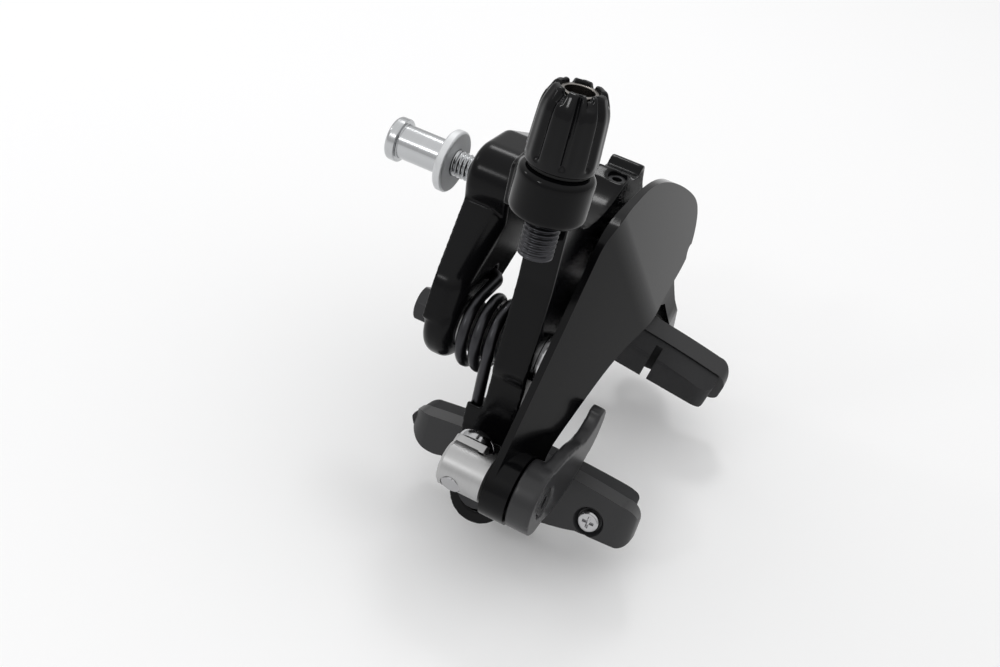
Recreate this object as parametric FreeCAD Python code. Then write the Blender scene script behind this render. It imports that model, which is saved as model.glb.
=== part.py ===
import FreeCAD, Part
import math
import os

from FreeCAD import Vector

# Side-pull rim brake caliper with two pivots, in millimetres.
# +Z is up as it hangs on a bicycle, -Y is the front, +X is to the right seen from the front.
# The origin is on the mounting stud, in the plane of the bracket's rear seat.
# The arms stand in the open position, as a caliper without a cable does.

# Pivots and swing
PIVOT_X = 27.3
PIVOT_Z = -18.5
OPEN_ANGLE = 20.0
RUNNING = 0.06
GAP = 0.3

# Bracket
BRACKET_FRONT = -11.0
BRACKET_REAR = -0.5
WING_REAR = -4.2
FLANK_START = (-15.0, 5.8)
FLANK_END = (-33.0, -6.4)
BRACKET_TOP = 15.6
BRACKET_CORNER = 7.0
WING_BOSS_R = 8.6
SEAT_R = 10.0
ARCH_TOP = -8.5
BRACKET_EDGE = 2.0
WING_EDGE = 2.8
WING_CORNER = 5.5
FLANK_ROUND = 4.0
FRONT_EDGE = 1.0
BRACKET_FILLET = 3.0

# Mounting stud, washer and sleeve nut
STUD_R = 3.0
STUD_HEAD_R = 5.2
STUD_HEAD_DEPTH = 4.0
STUD_END = 16.0
WASHER_R = 7.15
WASHER_FRONT = 9.8
WASHER_THICK = 2.3
WASHER_RIM = 0.4
NUT_BODY_R = 4.0
NUT_HEAD_R = 5.05
NUT_HEAD_LENGTH = 2.6
NUT_END = 25.8
NUT_SOCKET = 5.0
NUT_SOCKET_DEPTH = 3.0
NUT_TRAVEL = 6.0

# Pivot bolts
PIVOT_BOLT_R = 3.0
PIVOT_HEX = 7.0
PIVOT_HEAD = 4.2
PIVOT_CAP_R = 5.6
LEFT_CAP_THICK = 1.6
RIGHT_CAP_THICK = 2.2
CAP_SOCKET = 4.0
CAP_FLOOR = 0.5
CAP_GAP = 0.1
BUSH_R = 4.4

# Return spring
WIRE = 2.5
COIL_R = 7.4
COIL_PITCH = 3.1
COIL_TURNS = 2.25
COIL_FRONT = -19.75
SLEEVE_R = 5.4
HOOK_Z = -31.0
TAIL_X = -17.5
TAIL_BEND = 2.6
TAIL_DEPTH = 2.8
TAIL_MARGIN = 0.35

# Left arm
LEFT_REAR = -21.8
LEFT_FRONT = -29.4
ARM_BOSS_R = 9.0
LEFT_PEAK_X = 1.0
LEFT_PEAK_Z = 12.9

# Right arm
RIGHT_REAR = -31.5
RIGHT_BOSS_REAR = -21.8
RIGHT_BOSS_FRONT = -37.2
EDGE_THICK = 1.5
EDGE_POINT = (-51.3, -30.9)
EDGE_ANGLE = 49.5
FACE_SLOPE = 0.40
CREASE_ROUND = 20.0
ANCHOR_END_R = 7.6
END_FRONT = -37.0
CREASE_TOP = (-9.0, -33.0, 11.0)
SHOULDER_NORMAL = (0.054, -0.922, 0.382)

# Legs and shoe slots
LEG_INNER = 26.3
LEG_THICK = 5.0
LEG_Y = -27.0
RIGHT_LEG_Y = -34.3
LEG_HALF_WIDTH = 6.5
RIGHT_LEG_HALF = 6.2
SHOULDER_REAR = -18.2
FRONT_SHOULDER = -45.5
LEG_BOTTOM = -57.4
LEG_SHOULDER = -32.5
SLOT_CENTRE = -47.0
SLOT_TRAVEL = 4.2
BOLT_Z = -49.0
SLOT_HALF = 3.2

# Shoes
SHOE_REAR = -4.0
SHOE_FRONT = -59.0
WASHER_STACK = 3.4
SHOE_OUTER = LEG_INNER - WASHER_STACK
SHOE_Z = -46.3
HOLDER_DEPTH = 5.2
HOLDER_BACK = 2.4
CHANNEL_TOP = -42.8
CHANNEL_LOW = -49.0
PAD_TOP = -41.2
PAD_LOW = -50.4
PAD_DEPTH = 11.4
PAD_GROOVE = 1.8
PAD_GROOVE_DEPTH = 4.2
PAD_FIT = 0.05
PAD_CORNER = 3.2
FRONT_STOP = 2.2
SHOE_CANT = 4.0
FAR_SHOE_RISE = 5.5
FAR_SHOE_DROOP = 10.5
SHOE_BOLT_R = 3.0
SHOE_HEAD_R = 4.2
SHOE_HEAD_THICK = 1.6
SHOE_SOCKET = 4.0
SHOE_WASHER_R = 4.2
SHOE_WASHER_THICK = 0.8
CUP_R = 5.8
DOME_R = 4.9
DOME_SPHERE = 14.0
DOME_TOP = -LEG_INNER + 1.2
DOME_CENTRE = DOME_TOP + DOME_SPHERE
CUP_FACE = DOME_TOP + 0.8
PAD_SCREW_Y = -49.6
PAD_SCREW_Z = -48.2
PAD_SCREW_R = 1.5
PAD_SCREW_HEAD_R = 2.4

# Cable adjuster
ADJUSTER_X = -38.2
ADJUSTER_LEAN = 6.0
ADJUSTER_Y = -26.0
COLLAR_R = 7.4
COLLAR_BOTTOM = 20.0
COLLAR_TOP = 29.5
COLLAR_ROUND = 1.5
BARREL_R = 3.45
THREAD_PITCH = 1.0
THREAD_DEPTH = 0.45
BARREL_BOTTOM = 11.5
KNOB_BOTTOM = 30.3
KNOB_TOP = 45.0
KNOB_R = 6.7
KNOB_TOP_R = 5.9
KNOB_FLUTES = 8
FLUTE_R = 1.6
HOUSING_R = 2.75
SEAT_RING_R = 3.6
SEAT_DEPTH = 9.0
CABLE_R = 1.0

# Cable anchor and quick release
ANCHOR_X = -47.6
ANCHOR_Z = -37.1
ANCHOR_R = 5.0
ANCHOR_REAR = -20.6
CLAMP_Y = -24.2
CLAMP_TILT = 18.0
CLAMP_R = 2.2
CLAMP_HEAD_R = 4.2
CLAMP_HEAD = 3.4
PLATE_SIDE = 7.4
PLATE_THICK = 2.0
FLAT_DEPTH = 2.8
CLAMP_STEPS = 3
LEVER_X = -46.5
LEVER_Z = -37.0
LEVER_BOSS_R = 7.4
LEVER_FRONT = -42.6
PADDLE_REAR = -39.6
PADDLE_TILT = 4.5
LEVER_SHAFT_R = 4.8
LEVER_BOLT_R = 1.5
LEVER_BOLT_HEAD_R = 2.9
CRANK_R = 2.4
CRANK_REAR = -28.2

# Link between the arms
LINK_Z = -2.0
LINK_PIN_R = 2.0
LINK_ROLLER_R = 3.5
LINK_GAP = 0.25
CENTRING_R = 2.0

LEFT_PIVOT = Vector(-PIVOT_X, 0, PIVOT_Z)
RIGHT_PIVOT = Vector(PIVOT_X, 0, PIVOT_Z)
ALONG_Y = Vector(0, 1, 0)
ALONG_X = Vector(1, 0, 0)
ALONG_Z = Vector(0, 0, 1)


def save(name, shape):
    """Write one node."""
    shape.exportStep("parts/" + name + ".step")


def rod_y(radius, rear, front, x=0.0, z=0.0):
    """A cylinder along Y between two planes."""
    low = min(rear, front)
    return Part.makeCylinder(radius, abs(rear - front), Vector(x, low, z), ALONG_Y)


def rod_x(radius, low, high, y, z):
    """A cylinder along X between two planes."""
    return Part.makeCylinder(radius, high - low, Vector(low, y, z), ALONG_X)


def box(low, high):
    """A box between two corners."""
    size = Vector(*high) - Vector(*low)
    return Part.makeBox(size.x, size.y, size.z, Vector(*low))


def hexagon_y(flats, rear, front, x=0.0, z=0.0):
    """A hexagonal bar along Y."""
    corner = flats / 2 / math.cos(math.radians(30))
    points = []
    for k in range(7):
        turn = math.radians(60 * k + 30)
        points.append(Vector(x + corner * math.cos(turn), min(rear, front), z + corner * math.sin(turn)))
    face = Part.Face(Part.makePolygon(points))
    return face.extrude(Vector(0, abs(rear - front), 0))


def outline(start, steps, place):
    """A closed wire: each step is a point for a line, a pair for an arc, or a list of poles for a curve."""
    edges = []
    here = place(*start)
    for step in list(steps) + [start]:
        if isinstance(step, list):
            flow = Part.BSplineCurve()
            flow.buildFromPoles([here] + [place(*pole) for pole in step], False, 3)
            there = place(*step[-1])
            edges.append(flow.toShape())
        elif isinstance(step[0], tuple):
            middle = place(*step[0])
            there = place(*step[1])
            edges.append(Part.Arc(here, middle, there).toShape())
        else:
            there = place(*step)
            if there.distanceToPoint(here) > 1e-6:
                edges.append(Part.LineSegment(here, there).toShape())
        here = there
    return Part.Wire(edges)


def front_slab(start, steps, rear, front):
    """A plate drawn in the front view and carried from one Y plane to another."""
    low = min(rear, front)
    wire = outline(start, steps, lambda x, z: Vector(x, low, z))
    return Part.Face(wire).extrude(Vector(0, abs(rear - front), 0))


def side_slab(start, steps, low, high):
    """A plate drawn in the side view and carried from one X plane to another."""
    wire = outline(start, steps, lambda y, z: Vector(low, y, z))
    return Part.Face(wire).extrude(Vector(high - low, 0, 0))


def beyond(point, normal, size=200.0):
    """The half space, as a large block, on the side that the normal points to."""
    block = Part.makeBox(size, size, size, Vector(-size / 2, -size / 2, 0))
    block.Placement = FreeCAD.Placement(point, FreeCAD.Rotation(ALONG_Z, normal))
    return block


def turned(shape, centre, axis, angle):
    """A copy turned about an axis."""
    copy = shape.copy()
    copy.rotate(centre, axis, angle)
    return copy


def mirrored(shape):
    """The other side's copy."""
    return shape.mirror(Vector(0, 0, 0), ALONG_X)


def opened(shape, side):
    """Carry a shape from the closed position to the open one: side is -1 left, +1 right."""
    pivot = LEFT_PIVOT if side < 0 else RIGHT_PIVOT
    return turned(shape, pivot, ALONG_Y, -side * OPEN_ANGLE)


def rounded(shape, radius, chosen):
    """Round the edges that a test chooses."""
    edges = [edge for edge in shape.Edges if chosen(edge)]
    return shape.makeFillet(radius, edges)


def rim_edges(plane_y):
    """Choose the edges that lie in one Y plane."""
    def chosen(edge):
        bounds = edge.BoundBox
        return abs(bounds.YMin - plane_y) < 1e-4 and abs(bounds.YMax - plane_y) < 1e-4
    return chosen


def standing_edges(points):
    """Choose the edges along Y that pass through front view points, on both sides."""
    def chosen(edge):
        bounds = edge.BoundBox
        near = [abs(abs(bounds.XMin) - abs(x)) < 0.01 and abs(bounds.ZMin - z) < 0.01 for x, z in points]
        return bounds.XLength < 1e-3 and bounds.ZLength < 1e-3 and any(near)
    return chosen


def flipped(point):
    """A front view point on the other side."""
    return (-point[0], point[1])


def flank_rear():
    """Space behind a flank: its rear face slopes from the block's rear to the pivot boss's rear."""
    across = FLANK_END[0] - FLANK_START[0]
    down = FLANK_END[1] - FLANK_START[1]
    fall = (BRACKET_REAR - WING_REAR) / (across ** 2 + down ** 2)
    start = Vector(FLANK_START[0], BRACKET_REAR, FLANK_START[1])
    slope = beyond(start, Vector(across * fall, 1.0, down * fall))
    return slope.common(box((-60.0, WING_REAR, -40.0), (0.0, 20.0, 40.0)))


def bracket_wings():
    """Arch with a round boss at each pivot and a flank that runs up to the block, well rounded in front."""
    side = (-PIVOT_X - WING_BOSS_R + 0.3, PIVOT_Z + 3.0)
    inner = (-PIVOT_X + 10.5, PIVOT_Z + 1.5)
    down = [FLANK_END, side, (-PIVOT_X - 3.0, PIVOT_Z - 2.0), (-PIVOT_X + 4.0, PIVOT_Z - 2.0), inner]
    half = front_slab(FLANK_START, down + [(0.0, ARCH_TOP), (0.0, FLANK_START[1])], BRACKET_REAR,
                      BRACKET_FRONT)
    half = rounded(half, WING_CORNER, standing_edges([FLANK_END]))
    half = rounded(half, FLANK_ROUND, upper_rim(BRACKET_FRONT, side))
    half = half.cut(flank_rear())
    boss = rod_y(WING_BOSS_R, WING_REAR, BRACKET_FRONT, -PIVOT_X, PIVOT_Z)
    boss = rounded(boss, WING_EDGE, rim_edges(WING_REAR))
    half = half.fuse(rounded(boss, WING_EDGE, rim_edges(BRACKET_FRONT)))
    return half.fuse(mirrored(half))


def upper_rim(plane_y, low):
    """Choose the edges of a Y plane between the start of the flank and a low point on its outer side."""
    def chosen(edge):
        bounds = edge.BoundBox
        flat = abs(bounds.YMin - plane_y) < 1e-4 and abs(bounds.YMax - plane_y) < 1e-4
        return flat and bounds.ZMin > low[1] - 0.01 and bounds.XMax < FLANK_START[0] + 0.01
    return chosen


def bracket():
    """Block with a raised left shoulder and a seat at the stud, on the winged arch."""
    shoulder = (-20.4, BRACKET_TOP)
    slant = (-2.3, BRACKET_TOP - 1.6)
    right = (16.4, 5.6)
    left_neck = (-16.6, -4.0)
    foot = (-12.8, -7.0)
    body = front_slab(shoulder, [(-17.9, 3.4), left_neck, foot, flipped(foot), flipped(left_neck), right,
                                 slant],
                      BRACKET_REAR, BRACKET_FRONT)
    body = rounded(body, BRACKET_CORNER, standing_edges([shoulder, right]))
    body = rounded(body, BRACKET_FILLET, standing_edges([(-17.9, 3.4), slant]))
    body = rounded(body, BRACKET_EDGE, rim_edges(BRACKET_REAR))
    body = rounded(body, FRONT_EDGE, rim_edges(BRACKET_FRONT))
    body = body.fuse(bracket_wings())
    body = body.fuse(rod_y(SEAT_R, 0.0, BRACKET_REAR - 1.0))
    body = body.cut(rod_y(STUD_R, 1.0, BRACKET_FRONT - 1.0))
    body = body.cut(rod_y(STUD_HEAD_R + GAP, BRACKET_FRONT + STUD_HEAD_DEPTH, BRACKET_FRONT - 1.0))
    for side in (-1, 1):
        body = body.cut(rod_y(PIVOT_BOLT_R, 1.0, BRACKET_FRONT - 1.0, side * PIVOT_X, PIVOT_Z))
        body = body.cut(rod_y(PIVOT_HEX * 0.56 + GAP, 1.0, WING_REAR, side * PIVOT_X, PIVOT_Z))
    tail = coil_point(COIL_TURNS)[0]
    half = WIRE / 2 + TAIL_MARGIN
    floor = tail.y + TAIL_BEND + TAIL_MARGIN
    body = body.cut(box((TAIL_X - half, BRACKET_FRONT - 1.0, tail.z - half),
                        (TAIL_X + half, floor, tail.z + half)))
    return body.cut(rod_y(WIRE / 2 + RUNNING, floor + TAIL_DEPTH + RUNNING, floor - 1.0, TAIL_X, tail.z))


def mounting_stud():
    """Bolt that holds the caliper to the fork, its head sunk in the bracket."""
    shank = rod_y(STUD_R, STUD_END, BRACKET_FRONT + 0.5)
    head_rear = BRACKET_FRONT + STUD_HEAD_DEPTH
    head = rod_y(STUD_HEAD_R, head_rear, BRACKET_FRONT + 0.2)
    socket = hexagon_y(NUT_SOCKET, BRACKET_FRONT + 2.6, BRACKET_FRONT - 1.0)
    return shank.fuse(head).cut(socket)


def stud_washer():
    """Thick plain washer with softened rims."""
    rear = WASHER_FRONT + WASHER_THICK
    disc = rod_y(WASHER_R, rear, WASHER_FRONT)
    disc = disc.makeChamfer(WASHER_RIM, [edge for edge in disc.Edges if len(edge.Vertexes) == 1])
    return disc.cut(rod_y(STUD_R + RUNNING, rear + 1, WASHER_FRONT - 1))


def sleeve_nut():
    """Long round nut with a domed head and a hexagon socket."""
    front = WASHER_FRONT + WASHER_THICK
    body = rod_y(NUT_BODY_R, NUT_END - 0.5, front)
    head = rod_y(NUT_HEAD_R, NUT_END, NUT_END - NUT_HEAD_LENGTH)
    head = rounded(head, 0.9, rim_edges(NUT_END))
    nut = body.fuse(head)
    nut = nut.cut(rod_y(STUD_R + RUNNING, STUD_END + NUT_TRAVEL + GAP, front - 1.0))
    return nut.cut(hexagon_y(NUT_SOCKET, NUT_END + 1.0, NUT_END - NUT_SOCKET_DEPTH))


def pivot_bolt(x, front):
    """Pivot shaft with a hexagon head behind the bracket."""
    head = hexagon_y(PIVOT_HEX, WING_REAR + PIVOT_HEAD, WING_REAR, x, PIVOT_Z)
    dome = rod_y(PIVOT_HEX * 0.56, WING_REAR + PIVOT_HEAD, WING_REAR, x, PIVOT_Z)
    dome = rounded(dome, 0.6, rim_edges(WING_REAR + PIVOT_HEAD))
    shank = rod_y(PIVOT_BOLT_R, WING_REAR + 1.0, front, x, PIVOT_Z)
    return head.common(dome).fuse(shank)


def pivot_cap(x, rear, thick):
    """Domed cap screwed on the front end of a pivot bolt."""
    front = rear - thick
    disc = rod_y(PIVOT_CAP_R, rear, front, x, PIVOT_Z)
    disc = rounded(disc, 0.9, rim_edges(front))
    return disc.cut(hexagon_y(CAP_SOCKET, front + thick - CAP_FLOOR, front - 1.0, x, PIVOT_Z))


def bush(x, rear, front):
    """Plain bearing pressed into an arm."""
    tube = rod_y(BUSH_R, rear, front, x, PIVOT_Z)
    return tube.cut(rod_y(PIVOT_BOLT_R + RUNNING, rear + 1, front - 1, x, PIVOT_Z))


def sleeve(x, radius, rear, front):
    """Spacer tube on a pivot bolt."""
    tube = rod_y(radius, rear, front, x, PIVOT_Z)
    return tube.cut(rod_y(PIVOT_BOLT_R, rear + 1, front - 1, x, PIVOT_Z))


def biarc(start, start_dir, end, end_dir):
    """Two arcs that join two points with a tangent at each."""
    chord = end - start
    both = start_dir + end_dir
    spread = 2 * (1 - start_dir.dot(end_dir))
    along = chord.dot(both)
    reach = (-along + math.sqrt(along ** 2 + spread * chord.dot(chord))) / spread
    first = start + start_dir * reach
    second = end - end_dir * reach
    joint = (first + second) * 0.5
    return [corner_arc(start, first, joint), corner_arc(joint, second, end)]


def corner_arc(start, corner, end):
    """The arc between two points that is tangent to the lines to their corner."""
    middle = (start + end) * 0.5
    half = (end - start).Length / 2
    height = (corner - middle).Length
    rise = half * math.tan(math.atan2(height, half) / 2)
    top = middle + (corner - middle) * (rise / height)
    return Part.Arc(start, top, end).toShape()


def coil_point(turns):
    """Point and direction of the wire's centre line, counted in turns from its front end."""
    angle = math.pi - 2 * math.pi * turns
    lead = COIL_PITCH / (2 * math.pi)
    place = Vector(-PIVOT_X + COIL_R * math.cos(angle), COIL_FRONT + COIL_PITCH * turns,
                   PIVOT_Z + COIL_R * math.sin(angle))
    heading = Vector(COIL_R * math.sin(angle), lead, -COIL_R * math.cos(angle))
    return place, heading.normalize()


def spring_path():
    """Front leg, quarter turns of the coil, and rear leg, as one wire."""
    quarters = round(COIL_TURNS * 4)
    edges = []
    front, _ = coil_point(0)
    hook = Vector(front.x, front.y, HOOK_Z)
    lift = front + Vector(0, 0, -1.5)
    edges.append(Part.LineSegment(hook, lift).toShape())
    here, heading = lift, Vector(0, 0, 1)
    for k in range(1, quarters + 1):
        there, leaving = coil_point(k / 4)
        if k == quarters:
            leaving = Vector(1, 0, 0)
        edges += biarc(here, heading, there, leaving)
        here, heading = there, leaving
    turn = Vector(TAIL_X - TAIL_BEND, here.y, here.z)
    inside = Vector(TAIL_X, here.y + TAIL_BEND, here.z)
    edges.append(Part.LineSegment(here, turn).toShape())
    edges.append(corner_arc(turn, Vector(TAIL_X, here.y, here.z), inside))
    edges.append(Part.LineSegment(inside, inside + Vector(0, TAIL_MARGIN + TAIL_DEPTH, 0)).toShape())
    return Part.Wire(edges)


def spring_gap(path):
    """Least gap between stretches of the wire that are a half turn or more apart."""
    points = path.discretize(Distance=0.5)
    apart = int(math.pi * COIL_R / 0.5)
    least = 1000.0
    for k, point in enumerate(points):
        for other in points[k + apart:]:
            least = min(least, point.distanceToPoint(other))
    return least - WIRE


def return_spring():
    """Wound wire between the bracket and the left arm, one unbroken tube."""
    path = spring_path()
    start = path.OrderedVertexes[0].Point
    ring = Part.Wire(Part.Circle(start, ALONG_Z, WIRE / 2).toShape())
    tube = path.makePipeShell([ring], True, False)
    print("spring gap to itself", round(spring_gap(path), 3), "mm")
    wire_volume = path.Length * math.pi * WIRE ** 2 / 4
    print("spring volume", round(tube.Volume, 1), "against", round(wire_volume, 1))
    return tube


def leg(side_start, side_steps, middle):
    """Left leg in the closed position: its front view and its side view meet."""
    outer = -LEG_INNER - LEG_THICK
    neck_out = -PIVOT_X - ARM_BOSS_R + 0.3
    neck_in = -PIVOT_X + ARM_BOSS_R - 0.6
    front = front_slab(
        (neck_out, PIVOT_Z),
        [(neck_in, PIVOT_Z), ((neck_in - 1.0, PIVOT_Z - 7.0), (-LEG_INNER, LEG_SHOULDER - 1.0)),
         (-LEG_INNER, LEG_BOTTOM), (outer, LEG_BOTTOM), (outer, LEG_SHOULDER - 4.5),
         ((outer - 1.6, LEG_SHOULDER + 3.0), (neck_out, PIVOT_Z))],
        0.0, -60.0)
    side = side_slab(side_start, side_steps, -50.0, 0.0)
    body = front.common(side)
    slot_low = SLOT_CENTRE - SLOT_TRAVEL
    slot_high = SLOT_CENTRE + SLOT_TRAVEL
    slot = rod_x(SLOT_HALF, -50, 0, middle, slot_low)
    slot = slot.fuse(rod_x(SLOT_HALF, -50, 0, middle, slot_high))
    slot = slot.fuse(box((-50, middle - SLOT_HALF, slot_low), (0, middle + SLOT_HALF, slot_high)))
    return body.cut(slot)


def leg_tip(middle, half):
    """Side view of a leg's lower end, from its rear edge round to its front edge."""
    centre = LEG_BOTTOM + half
    return [(middle + half, centre), ((middle, LEG_BOTTOM), (middle - half, centre))]


def left_leg():
    """Leg of the left arm, opened out."""
    rear = LEG_Y + LEG_HALF_WIDTH
    front = LEG_Y - LEG_HALF_WIDTH
    behind = RIGHT_REAR + GAP
    steps = [(LEFT_REAR, LEG_SHOULDER), (SHOULDER_REAR, LEG_SHOULDER), (SHOULDER_REAR, LEG_SHOULDER - 4.0),
             (rear, BOLT_Z + 2.0)]
    steps += leg_tip(LEG_Y, LEG_HALF_WIDTH)
    steps += [(front, FRONT_SHOULDER - 2.0),
              ((front + 0.9, FRONT_SHOULDER + 0.6), (behind, FRONT_SHOULDER + 2.0)),
              (behind, LEG_SHOULDER - 4.0), (LEFT_FRONT, LEG_SHOULDER), (LEFT_FRONT, PIVOT_Z)]
    return opened(leg((LEFT_REAR, PIVOT_Z), steps, LEG_Y), -1)


def right_leg():
    """Leg of the right arm, opened out."""
    rear = RIGHT_LEG_Y + RIGHT_LEG_HALF
    front = RIGHT_LEG_Y - RIGHT_LEG_HALF
    steps = [(RIGHT_BOSS_REAR, PIVOT_Z - 8.0),
             ((rear - 1.0, LEG_SHOULDER - 0.5), (rear, LEG_SHOULDER - 8.0))]
    steps += leg_tip(RIGHT_LEG_Y, RIGHT_LEG_HALF)
    steps += [(front, LEG_SHOULDER - 8.0),
              ((front + 1.6, LEG_SHOULDER - 3.0), (RIGHT_BOSS_FRONT + 0.2, PIVOT_Z - 9.0)),
              (RIGHT_BOSS_FRONT + 0.2, PIVOT_Z)]
    return opened(mirrored(leg((RIGHT_BOSS_REAR, PIVOT_Z), steps, RIGHT_LEG_Y)), 1)


def roller_centre(turn):
    """Where the link roller stands in the left arm's own frame after both arms turn by an angle."""
    height = LINK_Z - PIVOT_Z
    angle = math.radians(turn)
    cos = math.cos(angle)
    sin = math.sin(angle)
    across = 2 * PIVOT_X - PIVOT_X * cos + height * sin
    up = PIVOT_X * sin + height * cos
    return (across * cos + up * sin - PIVOT_X, -across * sin + up * cos + PIVOT_Z)


def roller_way():
    """Space that the link roller sweeps in the left arm, open below."""
    reach = LINK_ROLLER_R + LINK_GAP
    first = roller_centre(0)
    half = roller_centre(OPEN_ANGLE / 2)
    last = roller_centre(OPEN_ANGLE)
    slope = math.atan2(last[1] - first[1], last[0] - first[0])
    shift = (-math.sin(slope) * reach, math.cos(slope) * reach)
    high = [(point[0] + shift[0], point[1] + shift[1]) for point in (first, half, last)]
    far = (last[0] + 30.0, last[1])
    sweep = front_slab(high[0], [(high[1], high[2]), far, (far[0], -60.0), (first[0] - reach, -60.0),
                                 (first[0] - reach, first[1])], 0.0, -60.0)
    start = rod_y(reach, 0.0, -60.0, first[0], first[1])
    end = rod_y(reach, 0.0, -60.0, last[0], last[1])
    return sweep.fuse(start).fuse(end)


def adjuster_axis(shape):
    """Lean a shape drawn upright at the adjuster's foot."""
    foot = Vector(ADJUSTER_X, ADJUSTER_Y, COLLAR_BOTTOM)
    return turned(shape, foot, ALONG_Y, ADJUSTER_LEAN)


def upright(radius, low, high):
    """A cylinder on the adjuster's axis before it leans."""
    return Part.makeCylinder(radius, high - low, Vector(ADJUSTER_X, ADJUSTER_Y, low), ALONG_Z)


def left_arm():
    """Arm with the cable adjuster's collar, the arch to the link and the left leg."""
    left_side = -33.6
    peak = (LEFT_PEAK_X, LEFT_PEAK_Z)
    plate = front_slab(
        (left_side, 24.0),
        [(-27.6, 24.0), ((-26.6, 14.5), (-18.5, 10.2)), ((-9.0, 10.0), (peak[0] - 4.0, peak[1] - 0.8)),
         peak,
         ((peak[0] + 1.8, peak[1] - 1.4), (4.0, 10.8)), (7.0, 10.4), (7.8, 11.2),
         ((9.2, 11.7), (10.6, 10.8)),
         ((13.6, 4.6), (19.5, 0.4)), (19.5, -4.5), (5.0, -4.5), ((-4.0, -3.5), (-18.7, -16.0)),
         ((-PIVOT_X, PIVOT_Z - ARM_BOSS_R), (-PIVOT_X - ARM_BOSS_R, PIVOT_Z)),
         ((-35.0, -9.0), (left_side, 2.0))],
        LEFT_REAR, LEFT_FRONT)
    collar = upright(COLLAR_R, COLLAR_BOTTOM, COLLAR_TOP)
    collar = collar.makeFillet(COLLAR_ROUND, [edge for edge in collar.Edges if len(edge.Vertexes) == 1])
    body = plate.fuse(adjuster_axis(collar)).fuse(left_leg())
    wall = front_slab((-39.8, 21.0), [((-39.4, 19.4), (-37.6, 19.0)), (-30.5, 19.0), (-30.5, 27.0),
                                      ((-31.0, 28.2), (-32.5, 28.5)), (-37.8, 28.5),
                                      ((-39.4, 28.0), (-39.8, 26.6))],
                      ADJUSTER_Y + COLLAR_R - 1.6, ADJUSTER_Y + COLLAR_R + 0.8)
    body = body.fuse(wall)
    body = body.cut(roller_way())
    body = body.cut(adjuster_axis(upright(BARREL_R + RUNNING, COLLAR_BOTTOM - 12, COLLAR_TOP + 1)))
    body = body.cut(adjuster_axis(upright(KNOB_R + GAP, COLLAR_TOP, COLLAR_TOP + 12)))
    body = body.cut(rod_y(BUSH_R, 0, -60, -PIVOT_X, PIVOT_Z))
    hook, _ = coil_point(0)
    notch = Part.makeCylinder(WIRE / 2 + GAP, 20, Vector(hook.x, hook.y, HOOK_Z - GAP), ALONG_Z)
    body = body.cut(notch)
    body = body.cut(centring_hole(CENTRING_R))
    body = body.cut(clamp_way())
    return body.removeSplitter()


def clamp_way():
    """Space that the clamp bolt's head passes through as the quick release carries the anchor round."""
    head = rod_x(CLAMP_HEAD_R + GAP, ANCHOR_X, clamp_end() + GAP, CLAMP_Y, ANCHOR_Z)
    head = anchor_turned(head)
    places = []
    for k in range(CLAMP_STEPS + 1):
        turn = math.radians(90.0 * k / CLAMP_STEPS)
        arm = (ANCHOR_X - LEVER_X, ANCHOR_Z - LEVER_Z)
        place = head.copy()
        place.translate(Vector(arm[0] * math.cos(turn) - arm[1] * math.sin(turn) - arm[0], 0,
                               arm[0] * math.sin(turn) + arm[1] * math.cos(turn) - arm[1]))
        places.append(place)
    return Part.makeCompound(places)


def clamp_end():
    """How far the clamp bolt's head reaches along X before the clamp is tilted."""
    return ANCHOR_X + FLAT_DEPTH + PLATE_THICK + 0.1 + CLAMP_HEAD


def centring_hole(radius):
    """Upright bore in the arch for the centring screw."""
    return Part.makeCylinder(radius, 40.0, Vector(LEFT_PEAK_X - 1.6, LEG_Y, 4.0), ALONG_Z)


def centring_screw():
    """Small set screw in the top of the left arm."""
    low = Vector(LEFT_PEAK_X - 1.6, LEG_Y, 4.0)
    screw = Part.makeCylinder(CENTRING_R, LEFT_PEAK_Z - 1.2 - low.z, low, ALONG_Z)
    socket = Part.makeCylinder(1.0, 3.0, Vector(low.x, low.y, LEFT_PEAK_Z - 3.2), ALONG_Z)
    return screw.cut(socket)


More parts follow.
